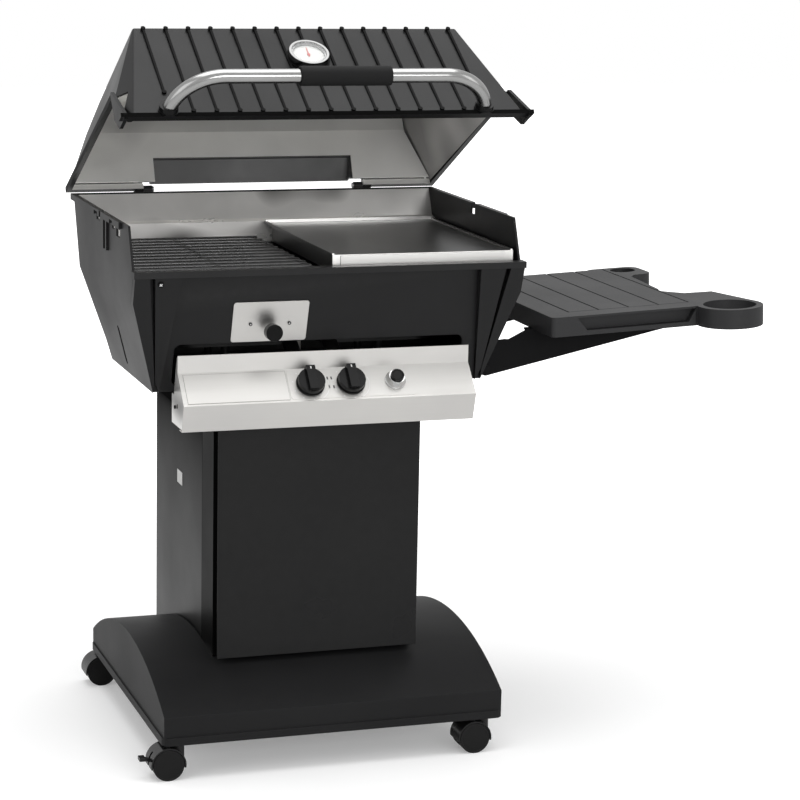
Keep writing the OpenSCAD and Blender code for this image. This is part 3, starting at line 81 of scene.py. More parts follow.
lightSetup = {
    "leftBox": {"place": (-3.6, -1.4, 2.0), "aim": (0, 0, 0.7), "size": (2.2, 3.0), "watts": 20},
    "topBox": {"place": (0.0, 0.1, 4.0), "aim": (0, 0.1, 0.8), "size": (3.6, 3.4), "watts": 92},
    "rightBox": {"place": (3.4, -2.2, 1.9), "aim": (0, 0, 0.7), "size": (1.4, 2.6), "watts": 14},
    "frontStrip": {"place": (0.3, -4.6, 1.7), "aim": (-0.1, 0.1, 0.95), "size": (2.4, 1.2), "watts": 50},
}


def makeLights(setup):
    for name, light in setup.items():
        data = bpy.data.lights.new(name, "AREA")
        data.shape = "RECTANGLE"
        data.size, data.size_y = light["size"]
        data.energy = light["watts"]
        lamp = bpy.data.objects.new(name, data)
        bpy.context.scene.collection.objects.link(lamp)
        lamp.location = light["place"]
        aim = Vector(light["aim"]) - Vector(light["place"])
        lamp.rotation_euler = aim.to_track_quat("-Z", "Y").to_euler()


makeLights(lightSetup)

studio = {
    "skyLight": 0.7,
    "skyGloss": 0.8,
    "skySeen": 1.0,
    "floorColor": 0.8,
    "floorReach": 14,
    "floorLift": 0.25,
    "floorNear": 0.9,
    "floorFar": 2.6,
}


def makeWorld(setup):
    # one white sky for lighting, one for reflections and one that the camera sees
    world = bpy.data.worlds.new("studio")
    bpy.context.scene.world = world
    world.use_nodes = True
    tree = world.node_tree
    tree.nodes.clear()
    out = tree.nodes.new("ShaderNodeOutputWorld")
    path = tree.nodes.new("ShaderNodeLightPath")
    skies = []
    for strength in (setup["skyLight"], setup["skySeen"], setup["skyGloss"]):
        sky = tree.nodes.new("ShaderNodeBackground")
        sky.inputs["Color"].default_value = (1, 1, 1, 1)
        sky.inputs["Strength"].default_value = strength
        skies.append(sky)
    plain, white, gloss = skies
    mixGloss = tree.nodes.new("ShaderNodeMixShader")
    mixSeen = tree.nodes.new("ShaderNodeMixShader")
    seen = tree.nodes.new("ShaderNodeMath")
    seen.operation = "MAXIMUM"
    tree.links.new(path.outputs["Is Camera Ray"], seen.inputs[0])
    tree.links.new(path.outputs["Is Transmission Ray"], seen.inputs[1])
    tree.links.new(path.outputs["Is Glossy Ray"], mixGloss.inputs[0])
    tree.links.new(plain.outputs[0], mixGloss.inputs[1])
    tree.links.new(gloss.outputs[0], mixGloss.inputs[2])
    tree.links.new(seen.outputs[0], mixSeen.inputs[0])
    tree.links.new(mixGloss.outputs[0], mixSeen.inputs[1])
    tree.links.new(white.outputs[0], mixSeen.inputs[2])
    tree.links.new(mixSeen.outputs[0], out.inputs["Surface"])


makeWorld(studio)


def makeFloor(setup):
    # white paper that shows shadows near the object and fades to plain white away from it
    mesh = bpy.data.meshes.new("floor")
    reach = setup["floorReach"]
    corners = [(-reach, -reach, 0), (reach, -reach, 0), (reach, reach, 0), (-reach, reach, 0)]
    mesh.from_pydata(corners, [], [(0, 1, 2, 3)])
    floor = bpy.data.objects.new("floor", mesh)
    bpy.context.scene.collection.objects.link(floor)
    mat = bpy.data.materials.new("floorPaper")
    mat.use_nodes = True
    tree = mat.node_tree
    tree.nodes.clear()
    out = tree.nodes.new("ShaderNodeOutputMaterial")
    paper = tree.nodes.new("ShaderNodeBsdfDiffuse")
    paper.inputs["Color"].default_value = (setup["floorColor"],) * 3 + (1,)
    lift = tree.nodes.new("ShaderNodeEmission")
    path = tree.nodes.new("ShaderNodeLightPath")
    amount = tree.nodes.new("ShaderNodeMath")
    amount.operation = "MULTIPLY"
    place = tree.nodes.new("ShaderNodeTexCoord")
    away = tree.nodes.new("ShaderNodeVectorMath")
    away.operation = "LENGTH"
    rise = tree.nodes.new("ShaderNodeMapRange")
    rise.interpolation_type = "SMOOTHSTEP"
    rise.inputs["From Min"].default_value = setup["floorNear"]
    rise.inputs["From Max"].default_value = setup["floorFar"]
    rise.inputs["To Min"].default_value = setup["floorLift"]
    rise.inputs["To Max"].default_value = 1.0
    tree.links.new(place.outputs["Object"], away.inputs[0])
    tree.links.new(away.outputs["Value"], rise.inputs["Value"])
    tree.links.new(rise.outputs["Result"], amount.inputs[1])
    add = tree.nodes.new("ShaderNodeAddShader")
    tree.links.new(path.outputs["Is Camera Ray"], amount.inputs[0])
    tree.links.new(amount.outputs[0], lift.inputs["Strength"])
    tree.links.new(paper.outputs[0], add.inputs[0])
    tree.links.new(lift.outputs[0], add.inputs[1])
    tree.links.new(add.outputs[0], out.inputs["Surface"])
    mesh.materials.append(mat)


makeFloor(studio)
print("camera, lights and floor made")


def newGroup(name, ins, outs):
    group = bpy.data.node_groups.new(name, "ShaderNodeTree")
    for label, kind, value in ins:
        socket = group.interface.new_socket(label, in_out="INPUT", socket_type=kind)
        socket.default_value = value
    for label, kind in outs:
        group.interface.new_socket(label, in_out="OUTPUT", socket_type=kind)
    return group, group.nodes.new("NodeGroupInput"), group.nodes.new("NodeGroupOutput")


textures = {
    "peelDetail": 2.0,
    "cloudDetail": 4.0,
    "specksScale": 46.0,
    "specksEdge": (0.06, 0.02),
    "linesDetail": 3.0,
    "smudgeScale": 7.0,
    "smudgeDetail": 3.0,
    "wearEdge": (0.52, 0.62),
    "wearScale": 60.0,
    "wearDetail": 4.0,
}


def addNoise(tree, place, scale, detail):
    # scale is a number or a socket
    node = tree.nodes.new("ShaderNodeTexNoise")
    node.inputs["Detail"].default_value = detail
    tree.links.new(place, node.inputs["Vector"])
    if hasattr(scale, "links"):
        tree.links.new(scale, node.inputs["Scale"])
    else:
        node.inputs["Scale"].default_value = scale
    return node.outputs["Fac"]


def addStep(tree, source, edge):
    # rises from 0 to 1 between two values of the source
    node = tree.nodes.new("ShaderNodeMapRange")
    node.inputs["From Min"].default_value, node.inputs["From Max"].default_value = edge
    tree.links.new(source, node.inputs["Value"])
    return node.outputs["Result"]


def addProduct(tree, first, second):
    node = tree.nodes.new("ShaderNodeMath")
    node.operation = "MULTIPLY"
    tree.links.new(first, node.inputs[0])
    tree.links.new(second, node.inputs[1])
    return node.outputs[0]


def makeCoatTexture(plan):
    # fine peel of a paint film or moulded skin, with slow cloudy variation
    group, inside, outside = newGroup(
        "coatTexture",
        [("Place", "NodeSocketVector", (0, 0, 0)), ("Peel Scale", "NodeSocketFloat", 900.0),
         ("Cloud Scale", "NodeSocketFloat", 6.0)],
        [("Peel", "NodeSocketFloat"), ("Cloud", "NodeSocketFloat"), ("Specks", "NodeSocketFloat")])
    place = inside.outputs["Place"]
    specks = group.nodes.new("ShaderNodeTexVoronoi")
    specks.inputs["Scale"].default_value = plan["specksScale"]
    group.links.new(place, specks.inputs["Vector"])
    peel = addNoise(group, place, inside.outputs["Peel Scale"], plan["peelDetail"])
    cloud = addNoise(group, place, inside.outputs["Cloud Scale"], plan["cloudDetail"])
    group.links.new(peel, outside.inputs["Peel"])
    group.links.new(cloud, outside.inputs["Cloud"])
    group.links.new(addStep(group, specks.outputs["Distance"], plan["specksEdge"]), outside.inputs["Specks"])
    return group


def makeBrushing(plan):
    # long thin lines along one direction, set by how much the place is stretched
    group, inside, outside = newGroup(
        "brushing",
        [("Place", "NodeSocketVector", (0, 0, 0)), ("Stretch", "NodeSocketVector", (8, 900, 900))],
        [("Lines", "NodeSocketFloat"), ("Smudge", "NodeSocketFloat")])
    stretch = group.nodes.new("ShaderNodeVectorMath")
    stretch.operation = "MULTIPLY"
    group.links.new(inside.outputs["Place"], stretch.inputs[0])
    group.links.new(inside.outputs["Stretch"], stretch.inputs[1])
    lines = addNoise(group, stretch.outputs[0], 1.0, plan["linesDetail"])
    smudge = addNoise(group, inside.outputs["Place"], plan["smudgeScale"], plan["smudgeDetail"])
    group.links.new(lines, outside.inputs["Lines"])
    group.links.new(smudge, outside.inputs["Smudge"])
    return group


def makeEdgeWear(plan):
    # brightens proud edges, broken up by noise
    group, inside, outside = newGroup(
        "edgeWear", [("Place", "NodeSocketVector", (0, 0, 0)), ("Amount", "NodeSocketFloat", 0.5)],
        [("Wear", "NodeSocketFloat")])
    geometry = group.nodes.new("ShaderNodeNewGeometry")
    proud = addStep(group, geometry.outputs["Pointiness"], plan["wearEdge"])
    noise = addNoise(group, inside.outputs["Place"], plan["wearScale"], plan["wearDetail"])
    broken = addProduct(group, proud, noise)
    group.links.new(addProduct(group, broken, inside.outputs["Amount"]), outside.inputs["Wear"])
    return group


coatTexture = makeCoatTexture(textures)
brushing = makeBrushing(textures)
edgeWear = makeEdgeWear(textures)


def startMaterial(name):
    mat = bpy.data.materials.new(name)
    mat.use_nodes = True
    tree = mat.node_tree
    shader = tree.nodes["Principled BSDF"]
    place = tree.nodes.new("ShaderNodeTexCoord")
    return mat, tree, shader, place.outputs["Object"]


def addGroup(tree, group, place, **values):
    node = tree.nodes.new("ShaderNodeGroup")
    node.node_tree = group
    tree.links.new(place, node.inputs["Place"])
    for key, value in values.items():
        node.inputs[key.replace("_", " ")].default_value = value
    return node


def mapTo(tree, source, low, high, fromLow=0.3, fromHigh=0.7):
    node = tree.nodes.new("ShaderNodeMapRange")
    node.inputs["From Min"].default_value = fromLow
    node.inputs["From Max"].default_value = fromHigh
    node.inputs["To Min"].default_value = low
    node.inputs["To Max"].default_value = high
    tree.links.new(source, node.inputs["Value"])
    return node.outputs["Result"]


def mixColor(tree, factor, first, second):
    node = tree.nodes.new("ShaderNodeMix")
    node.data_type = "RGBA"
    for socket, value in ((node.inputs[6], first), (node.inputs[7], second)):
        if hasattr(value, "links"):
            tree.links.new(value, socket)
        else:
            socket.default_value = tuple(value) + (1,)
    tree.links.new(factor, node.inputs[0])
    return node.outputs[2]


def addBump(tree, height, shader, strength, distance):
    node = tree.nodes.new("ShaderNodeBump")
    node.inputs["Strength"].default_value = strength
    node.inputs["Distance"].default_value = distance
    tree.links.new(height, node.inputs["Height"])
    tree.links.new(node.outputs["Normal"], shader.inputs["Normal"])


coatFinishes = {
    # cloud is the colour of slow patches, worn that of rubbed edges
    "castBlack": {"color": (0.007, 0.007, 0.0074), "cloud": (0.01, 0.01, 0.0104),
                  "worn": (0.03, 0.03, 0.03), "rough": (0.34, 0.46), "peelScale": 420, "bump": 0.1,
                  "wear": 0.4, "shine": 0.2},
    "lidBlack": {"color": (0.006, 0.006, 0.0063), "cloud": (0.009, 0.009, 0.0093),
                 "worn": (0.03, 0.03, 0.03), "rough": (0.34, 0.46), "peelScale": 420, "bump": 0.1,
                 "wear": 0.4, "shine": 0.175},
    # painted shade: near-black with little shine, for the lid's ribs, front bar and lips and a screw slot
    "paintedShadeBlack": {"color": (0.002, 0.002, 0.002), "cloud": (0.003, 0.003, 0.003),
                 "worn": (0.01, 0.01, 0.01), "rough": (0.4, 0.5), "peelScale": 420, "bump": 0.08,
                 "wear": 0.2, "shine": 0.04},
    "postBlack": {"color": (0.004, 0.004, 0.0042), "cloud": (0.006, 0.006, 0.006),
                  "worn": (0.03, 0.03, 0.03), "rough": (0.3, 0.38), "peelScale": 700, "bump": 0.04,
                  "wear": 0.0, "shine": 0.09},
    "frameBlack": {"color": (0.002, 0.002, 0.002), "cloud": (0.003, 0.003, 0.003),
                   "worn": (0.01, 0.01, 0.01), "rough": (0.34, 0.42), "peelScale": 700, "bump": 0.04,
                   "wear": 0.2, "shine": 0.02},
    "sheetBlack": {"color": (0.007, 0.007, 0.0073), "cloud": (0.009, 0.009, 0.009),
                   "worn": (0.03, 0.03, 0.03), "rough": (0.26, 0.34), "peelScale": 700, "bump": 0.04,
                   "wear": 0.3, "shine": 0.17},
    # painted shade for the shaded side of the post's door and frame
    "revealShade": {"color": (0.003, 0.003, 0.003), "cloud": (0.004, 0.004, 0.004),
                    "worn": (0.005, 0.005, 0.005), "rough": (0.5, 0.6), "peelScale": 700, "bump": 0.04,
                    "wear": 0.1, "shine": 0.0},
    "armBlack": {"color": (0.006, 0.006, 0.0064), "cloud": (0.009, 0.009, 0.0094),
                 "worn": (0.03, 0.03, 0.03), "rough": (0.42, 0.52), "peelScale": 520, "bump": 0.12,
                 "wear": 0.2, "shine": 0.03},
    "basePlastic": {"color": (0.009, 0.009, 0.0094), "cloud": (0.012, 0.012, 0.0125),
                    "worn": (0.02, 0.02, 0.02), "rough": (0.44, 0.52), "peelScale": 900, "bump": 0.15,
                    "wear": 0.2, "shine": 0.14},
    "shelfPlastic": {"color": (0.014, 0.014, 0.015), "cloud": (0.019, 0.019, 0.02),
                     "worn": (0.05, 0.05, 0.05), "rough": (0.46, 0.56), "peelScale": 900, "bump": 0.25,
                     "wear": 0.3, "shine": 0.3},
    "glossBlack": {"color": (0.002, 0.002, 0.002), "cloud": (0.003, 0.003, 0.003),
                   "worn": (0.01, 0.01, 0.01), "rough": (0.1, 0.14), "peelScale": 900, "bump": 0.01,
                   "wear": 0.0, "shine": 0.14},
    "knobPlastic": {"color": (0.003, 0.003, 0.0032), "cloud": (0.0045, 0.0045, 0.0045),
                    "worn": (0.02, 0.02, 0.02), "rough": (0.22, 0.28), "peelScale": 1200, "bump": 0.03,
                    "wear": 0.2, "shine": 0.12},
    "gripFoam": {"color": (0.006, 0.006, 0.0063), "cloud": (0.009, 0.009, 0.009),
                 "worn": (0.02, 0.02, 0.02), "rough": (0.6, 0.72), "peelScale": 1500, "bump": 0.45,
                 "wear": 0.0, "shine": 0.16},
    "casterPlastic": {"color": (0.004, 0.004, 0.0042), "cloud": (0.006, 0.006, 0.006),
                      "worn": (0.03, 0.03, 0.03), "rough": (0.24, 0.32), "peelScale": 1000, "bump": 0.05,
                      "wear": 0.3, "shine": 0.3},
    "wheelRubber": {"color": (0.004, 0.004, 0.004), "cloud": (0.006, 0.006, 0.006),
                    "worn": (0.02, 0.02, 0.02), "rough": (0.3, 0.4), "peelScale": 1100, "bump": 0.08,
                    "wear": 0.3, "shine": 0.2},
    "labelGrey": {"color": (0.5, 0.5, 0.49), "cloud": (0.56, 0.56, 0.55), "worn": (0.6, 0.6, 0.6),
                  "rough": (0.4, 0.5), "peelScale": 900, "bump": 0.04, "wear": 0.0, "shine": 0.5},
    "dialWhite": {"color": (0.62, 0.62, 0.6), "cloud": (0.66, 0.66, 0.64), "worn": (0.8, 0.8, 0.8),
                  "rough": (0.35, 0.42), "peelScale": 900, "bump": 0.02, "wear": 0.0, "shine": 0.5},
    "needleRed": {"color": (0.42, 0.02, 0.015), "cloud": (0.5, 0.03, 0.02), "worn": (0.5, 0.1, 0.08),
                  "rough": (0.35, 0.42), "peelScale": 900, "bump": 0.02, "wear": 0.0, "shine": 0.5},
    # real print, and painted shade in the screw slots
    "inkAndSlotShade": {"color": (0.02, 0.02, 0.02), "cloud": (0.03, 0.03, 0.03), "worn": (0.05, 0.05, 0.05),
                 "rough": (0.5, 0.6), "peelScale": 900, "bump": 0.02, "wear": 0.0, "shine": 0.3},
    "indexWhite": {"color": (0.6, 0.6, 0.58), "cloud": (0.66, 0.66, 0.65), "worn": (0.7, 0.7, 0.7),
                   "rough": (0.45, 0.55), "peelScale": 900, "bump": 0.02, "wear": 0.0, "shine": 0.4},
    "glazeWhite": {"color": (0.4, 0.39, 0.37), "cloud": (0.44, 0.43, 0.41), "worn": (0.4, 0.4, 0.4),
                   "rough": (0.2, 0.28), "peelScale": 500, "bump": 0.02, "wear": 0.0, "shine": 0.5},
    "gridEnamel": {"color": (0.016, 0.016, 0.0165), "cloud": (0.026, 0.026, 0.026),
                   "worn": (0.08, 0.08, 0.08), "rough": (0.18, 0.3), "peelScale": 260, "bump": 0.2,
                   "wear": 0.5, "shine": 0.9},
}
coatDetail = {"cloudScale": 5.0, "speckGain": 2.4, "speckLift": 0.01, "speckMix": 0.12, "peelDepth": 0.0006}
# coats whose shine fades between two heights: a painted sheen that makes the post lighter low down and plain at
# its top
paintedSheenCoats = {"postBlack": {"shines": (0.12, 0.0), "heights": (0.16, 0.56)}}


def makeCoat(name, spec):
    mat, tree, shader, place = startMaterial(name)
    skin = addGroup(tree, coatTexture, place, Peel_Scale=spec["peelScale"],
                    Cloud_Scale=coatDetail["cloudScale"])
    edges = addGroup(tree, edgeWear, place, Amount=spec["wear"])
    shade = mixColor(tree, mapTo(tree, skin.outputs["Cloud"], 0, 1), spec["color"], spec["cloud"])
    shade = mixColor(tree, edges.outputs["Wear"], shade, spec["worn"])
    speck = [c * coatDetail["speckGain"] + coatDetail["speckLift"] for c in spec["color"]]
    shade = mixColor(tree, mapTo(tree, skin.outputs["Specks"], 0, coatDetail["speckMix"], 0, 1), shade, speck)
    tree.links.new(shade, shader.inputs["Base Color"])
    tree.links.new(mapTo(tree, skin.outputs["Cloud"], *spec["rough"]), shader.inputs["Roughness"])
    shader.inputs["Specular IOR Level"].default_value = spec["shine"]
    # painted sheen: shine that fades with height
    if name in paintedSheenCoats:
        fade = paintedSheenCoats[name]
        split = tree.nodes.new("ShaderNodeSeparateXYZ")
        tree.links.new(place, split.inputs[0])
        shine = mapTo(tree, split.outputs["Z"], *fade["shines"], *fade["heights"])
        tree.links.new(shine, shader.inputs["Specular IOR Level"])
    addBump(tree, skin.outputs["Peel"], shader, spec["bump"], coatDetail["peelDepth"])
    return mat


steelFinishes = {
    # stretch draws the brushed lines out, grain is how much they comb the light
    "panelSteel": {"color": (0.6, 0.59, 0.57), "smudge": (0.57, 0.56, 0.545), "rough": (0.34, 0.42),
                   "stretch": (5, 260, 260), "bump": 0.03, "grain": 0.2},
    "linerSteel": {"color": (0.92, 0.905, 0.88), "smudge": (0.78, 0.77, 0.75), "rough": (0.27, 0.33),
                   "stretch": (14, 24, 24), "bump": 0.004, "grain": 0.0},
    "lidSteel": {"color": (0.94, 0.93, 0.9), "smudge": (0.86, 0.85, 0.82), "rough": (0.29, 0.34),
                 "stretch": (14, 24, 24), "bump": 0.004, "grain": 0.0},
    # a darker copy of the lid's inner steel, painted shade on its right-hand wall
    "wallShadeSteel": {"color": (0.56, 0.55, 0.54), "smudge": (0.5, 0.49, 0.48), "rough": (0.34, 0.38),
                  "stretch": (14, 24, 24), "bump": 0.004, "grain": 0.0},
    # a rougher copy of the panel steel, made lighter as painted light on the upward slope
    "slopeSteel": {"color": (0.7, 0.69, 0.67), "smudge": (0.67, 0.66, 0.64), "rough": (0.5, 0.56),
                   "stretch": (5, 260, 260), "bump": 0.03, "grain": 0.0},
    "burnerSteel": {"color": (0.05, 0.05, 0.05), "smudge": (0.035, 0.035, 0.035), "rough": (0.45, 0.6),
                    "stretch": (30, 30, 30), "bump": 0.06, "grain": 0.0},
    "hoodMetal": {"color": (0.15, 0.15, 0.15), "smudge": (0.12, 0.12, 0.12), "rough": (0.45, 0.55),
                  "stretch": (30, 30, 30), "bump": 0.05, "grain": 0.0},
    "dullSteel": {"color": (0.32, 0.315, 0.3), "smudge": (0.22, 0.215, 0.205), "rough": (0.38, 0.55),
                  "stretch": (6, 200, 200), "bump": 0.08, "grain": 0.0},
    "tubeSteel": {"color": (0.37, 0.37, 0.366), "smudge": (0.33, 0.33, 0.326), "rough": (0.18, 0.26),
                  "stretch": (3, 420, 420), "bump": 0.03, "grain": 0.0},
    "bezelSteel": {"color": (0.26, 0.26, 0.258), "smudge": (0.23, 0.23, 0.228), "rough": (0.16, 0.22),
                   "stretch": (30, 30, 30), "bump": 0.01, "grain": 0.0},
    "zincSteel": {"color": (0.36, 0.36, 0.37), "smudge": (0.28, 0.28, 0.29), "rough": (0.35, 0.5),
                  "stretch": (60, 60, 60), "bump": 0.05, "grain": 0.0},
    "canAluminium": {"color": (0.6, 0.6, 0.6), "smudge": (0.5, 0.5, 0.5), "rough": (0.3, 0.45),
                     "stretch": (40, 40, 400), "bump": 0.05, "grain": 0.0},
    "valveBrass": {"color": (0.62, 0.42, 0.16), "smudge": (0.5, 0.33, 0.13), "rough": (0.3, 0.45),
                   "stretch": (80, 80, 80), "bump": 0.05, "grain": 0.0},
    "collarChrome": {"color": (0.5, 0.5, 0.5), "smudge": (0.46, 0.46, 0.46), "rough": (0.12, 0.2),
                     "stretch": (30, 30, 300), "bump": 0.02, "grain": 0.0},
}

paintedReflectionSteels = {
    # painted reflections: clouds of a dark tone standing in for dark surroundings seen in the steel, the noise
    # range over which they turn, and painted shade darkening to the right
    "linerSteel": {"dark": (0.2, 0.196, 0.19), "stretch": (6.0, 5.0, 10.0), "turn": (0.56, 0.7),
                   "rightward": 0.65},
    "lidSteel": {"dark": (0.55, 0.54, 0.53), "stretch": (5.0, 4.0, 8.0), "turn": (0.62, 0.78),
                 "rightward": 0.0},
    "wallShadeSteel": {"dark": (0.26, 0.255, 0.25), "stretch": (5.0, 7.0, 9.0), "turn": (0.42, 0.64),
                  "rightward": 0.0},
}
# detail of the painted reflection patches, and the span across which the painted shade darkens to the right
cloudDetail = {"detail": 1.2, "roughness": 0.4, "across": (-0.05, 0.34)}
steelDetail = {"metal": 1.0, "paintedReflectionMetal": 0.6, "lineDepth": 0.0004, "smudgeRange": (0.35, 0.65)}


# paints dark reflection patches onto a steel's colour, and painted shade that darkens it to the right
def addPaintedReflections(tree, place, shade, spec):
    spread = tree.nodes.new("ShaderNodeMapping")
    spread.inputs["Scale"].default_value = spec["stretch"]
    tree.links.new(place, spread.inputs["Vector"])
    noise = tree.nodes.new("ShaderNodeTexNoise")
    noise.inputs["Scale"].default_value = 1.0
    noise.inputs["Detail"].default_value = cloudDetail["detail"]
    noise.inputs["Roughness"].default_value = cloudDetail["roughness"]
    tree.links.new(spread.outputs[0], noise.inputs["Vector"])
    cloudy = mixColor(tree, mapTo(tree, noise.outputs[0], 0, 1, *spec["turn"]), shade, spec["dark"])
    if not spec["rightward"]:
        return cloudy
    split = tree.nodes.new("ShaderNodeSeparateXYZ")
    tree.links.new(place, split.inputs[0])
    across = mapTo(tree, split.outputs["X"], 0, spec["rightward"], *cloudDetail["across"])
    return mixColor(tree, across, cloudy, spec["dark"])


def makeSteel(name, spec):
    mat, tree, shader, place = startMaterial(name)
    brushed = addGroup(tree, brushing, place, Stretch=spec["stretch"])
    smudges = mapTo(tree, brushed.outputs["Smudge"], 0, 1, *steelDetail["smudgeRange"])
    shade = mixColor(tree, smudges, spec["color"], spec["smudge"])
    # painted reflections and painted shade
    if name in paintedReflectionSteels:
        shade = addPaintedReflections(tree, place, shade, paintedReflectionSteels[name])
    tree.links.new(shade, shader.inputs["Base Color"])
    tree.links.new(mapTo(tree, brushed.outputs["Lines"], *spec["rough"]), shader.inputs["Roughness"])
    shader.inputs["Metallic"].default_value = steelDetail["paintedReflectionMetal" if name in paintedReflectionSteels else "metal"]
    shader.inputs["Anisotropic"].default_value = spec["grain"]
    addBump(tree, brushed.outputs["Lines"], shader, spec["bump"], steelDetail["lineDepth"])
    return mat


griddleFinish = {
    "plate": (0.14, 0.14, 0.141),
    "plateSmudge": (0.15, 0.149, 0.147),
    "front": (0.8, 0.79, 0.77),
    "frontFacing": (-0.8, -0.5),
    "rough": (0.28, 0.31),
    "stretch": (40, 40, 40),
    "metal": 0.85,
    "bump": 0.002,
    "lineDepth": 0.0003,
}


def makeGriddleMetal(spec):
    # dark plate on every face but those that look forward, which are bright steel
    mat, tree, shader, place = startMaterial("griddleMetal")
    brushed = addGroup(tree, brushing, place, Stretch=spec["stretch"])
    geometry = tree.nodes.new("ShaderNodeNewGeometry")
    split = tree.nodes.new("ShaderNodeSeparateXYZ")
    tree.links.new(geometry.outputs["Normal"], split.inputs[0])
    upright = mapTo(tree, split.outputs["Y"], 1, 0, *spec["frontFacing"])
    plate = mixColor(tree, mapTo(tree, brushed.outputs["Smudge"], 0, 1), spec["plate"], spec["plateSmudge"])
    tree.links.new(mixColor(tree, upright, plate, spec["front"]), shader.inputs["Base Color"])
    tree.links.new(mapTo(tree, brushed.outputs["Smudge"], *spec["rough"]), shader.inputs["Roughness"])
    shader.inputs["Metallic"].default_value = spec["metal"]
    addBump(tree, brushed.outputs["Lines"], shader, spec["bump"], spec["lineDepth"])
    return mat


glassFinish = {
    "tint": (0.9, 0.92, 0.92),
    "cover": 0.1,
    "index": 1.45,
    "smearScale": 40.0,
    "smearDetail": 2.0,
    "rough": (0.01, 0.06),
}


def makeDialGlass(spec):
    # thin clear glass: mostly see-through, with a faint smeared shine
    mat, tree, shader, place = startMaterial("dialGlass")
    shader.inputs["Base Color"].default_value = spec["tint"] + (1,)
    shader.inputs["Alpha"].default_value = spec["cover"]
    shader.inputs["IOR"].default_value = spec["index"]
    smears = addNoise(tree, place, spec["smearScale"], spec["smearDetail"])
    tree.links.new(mapTo(tree, smears, *spec["rough"]), shader.inputs["Roughness"])
    return mat


finish = {name: makeCoat(name, spec) for name, spec in coatFinishes.items()}
finish.update({name: makeSteel(name, spec) for name, spec in steelFinishes.items()})
finish["griddleMetal"] = makeGriddleMetal(griddleFinish)
finish["dialGlass"] = makeDialGlass(glassFinish)

finishOfSlot = {
    "cast_black": "castBlack", "sheet_black": "sheetBlack", "arm_black": "armBlack",
    "stainless": "panelSteel", "stainless_dull": "linerSteel", "steel_tube": "tubeSteel",
    "zinc": "zincSteel", "can": "canAluminium", "grid_iron": "gridEnamel",
    "griddle_iron": "griddleMetal", "valve_brass": "valveBrass", "collar_chrome": "collarChrome",
    "base_plastic": "basePlastic", "shelf_plastic": "shelfPlastic", "knob_plastic": "knobPlastic",
    "caster_plastic": "casterPlastic", "wheel_rubber": "wheelRubber", "spark_white": "glazeWhite",
    "label_grey": "labelGrey", "dial_white": "dialWhite", "needle_red": "needleRed",
    "dial_glass": "dialGlass",
}
# nodes whose finish differs from that of their slot
finishOfNode = {
    "lid_casting": "lidBlack", "handle_grip": "gripFoam", "shutter_rod": "collarChrome",
    "screws": "armBlack", "lid_liner": "lidSteel", "burner_left": "burnerSteel",
    "burner_right": "burnerSteel", "dial_plate": "slopeSteel", "post_shell": "postBlack",
    "post_frame": "frameBlack", "thermometer_case": "bezelSteel", "shutter_knob": "glossBlack",
    "heat_plates": "dullSteel", "shelf_pivot_bolts": "armBlack", "shelf_lock_bolts": "armBlack",
}


def materialFor(node):
    return finish[finishOfNode.get(node) or finishOfSlot[slotOf[node]]]


for name, obj in nodes.items():
    obj.data.materials.clear()
    obj.data.materials.append(materialFor(name))
print("materials made:", len(finish))


softening = {
    "mergeWithin": 0.00002,
    "flatWithin": 0.5,
    "sharpOver": 28,
    "evenWeight": 90,
    "steps": 2,
}


def softened(node, width, segments, plan=softening):
    # a copy of a machined solid with its edges rounded, which takes the node's place
    mesh = nodes[node].data.copy()
    work = bmesh.new()
    work.from_mesh(mesh)
    bmesh.ops.remove_doubles(work, verts=work.verts, dist=plan["mergeWithin"])
    flat = math.radians(plan["flatWithin"])
    bmesh.ops.dissolve_limit(work, angle_limit=flat, verts=work.verts, edges=work.edges)
    bmesh.ops.recalc_face_normals(work, faces=work.faces)
    for face in work.faces:
        face.smooth = True
    work.to_mesh(mesh)
    work.free()
    piece = bpy.data.objects.new(node + "_soft", mesh)
    bpy.context.scene.collection.objects.link(piece)
    bevel = piece.modifiers.new("soften", "BEVEL")
    bevel.width = width
    bevel.segments = segments
    bevel.limit_method = "ANGLE"
    bevel.angle_limit = math.radians(plan["sharpOver"])
    bevel.harden_normals = False
    bevel.use_clamp_overlap = True
    even = piece.modifiers.new("even", "WEIGHTED_NORMAL")
    even.mode = "FACE_AREA"
    even.weight = plan["evenWeight"]
    even.keep_sharp = False
    bpy.context.view_layer.update()
    done = bpy.data.meshes.new_from_object(piece.evaluated_get(bpy.context.evaluated_depsgraph_get()))
    piece.modifiers.clear()
    piece.data = done
    done.materials.clear()
    done.materials.append(materialFor(node))
    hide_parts(node)
    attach(piece, bodyOf[node])
    return piece


def paintFaces(piece, finishName, chosen):
    # gives a second finish to the faces whose middle the rule picks
    mesh = piece.data
    mesh.materials.append(finish[finishName])
    index = len(mesh.materials) - 1
    count = 0
    for face in mesh.polygons:
        if chosen(face.center, face.normal):
            face.material_index = index
            count += 1
    print("painted", piece.name, finishName, count)


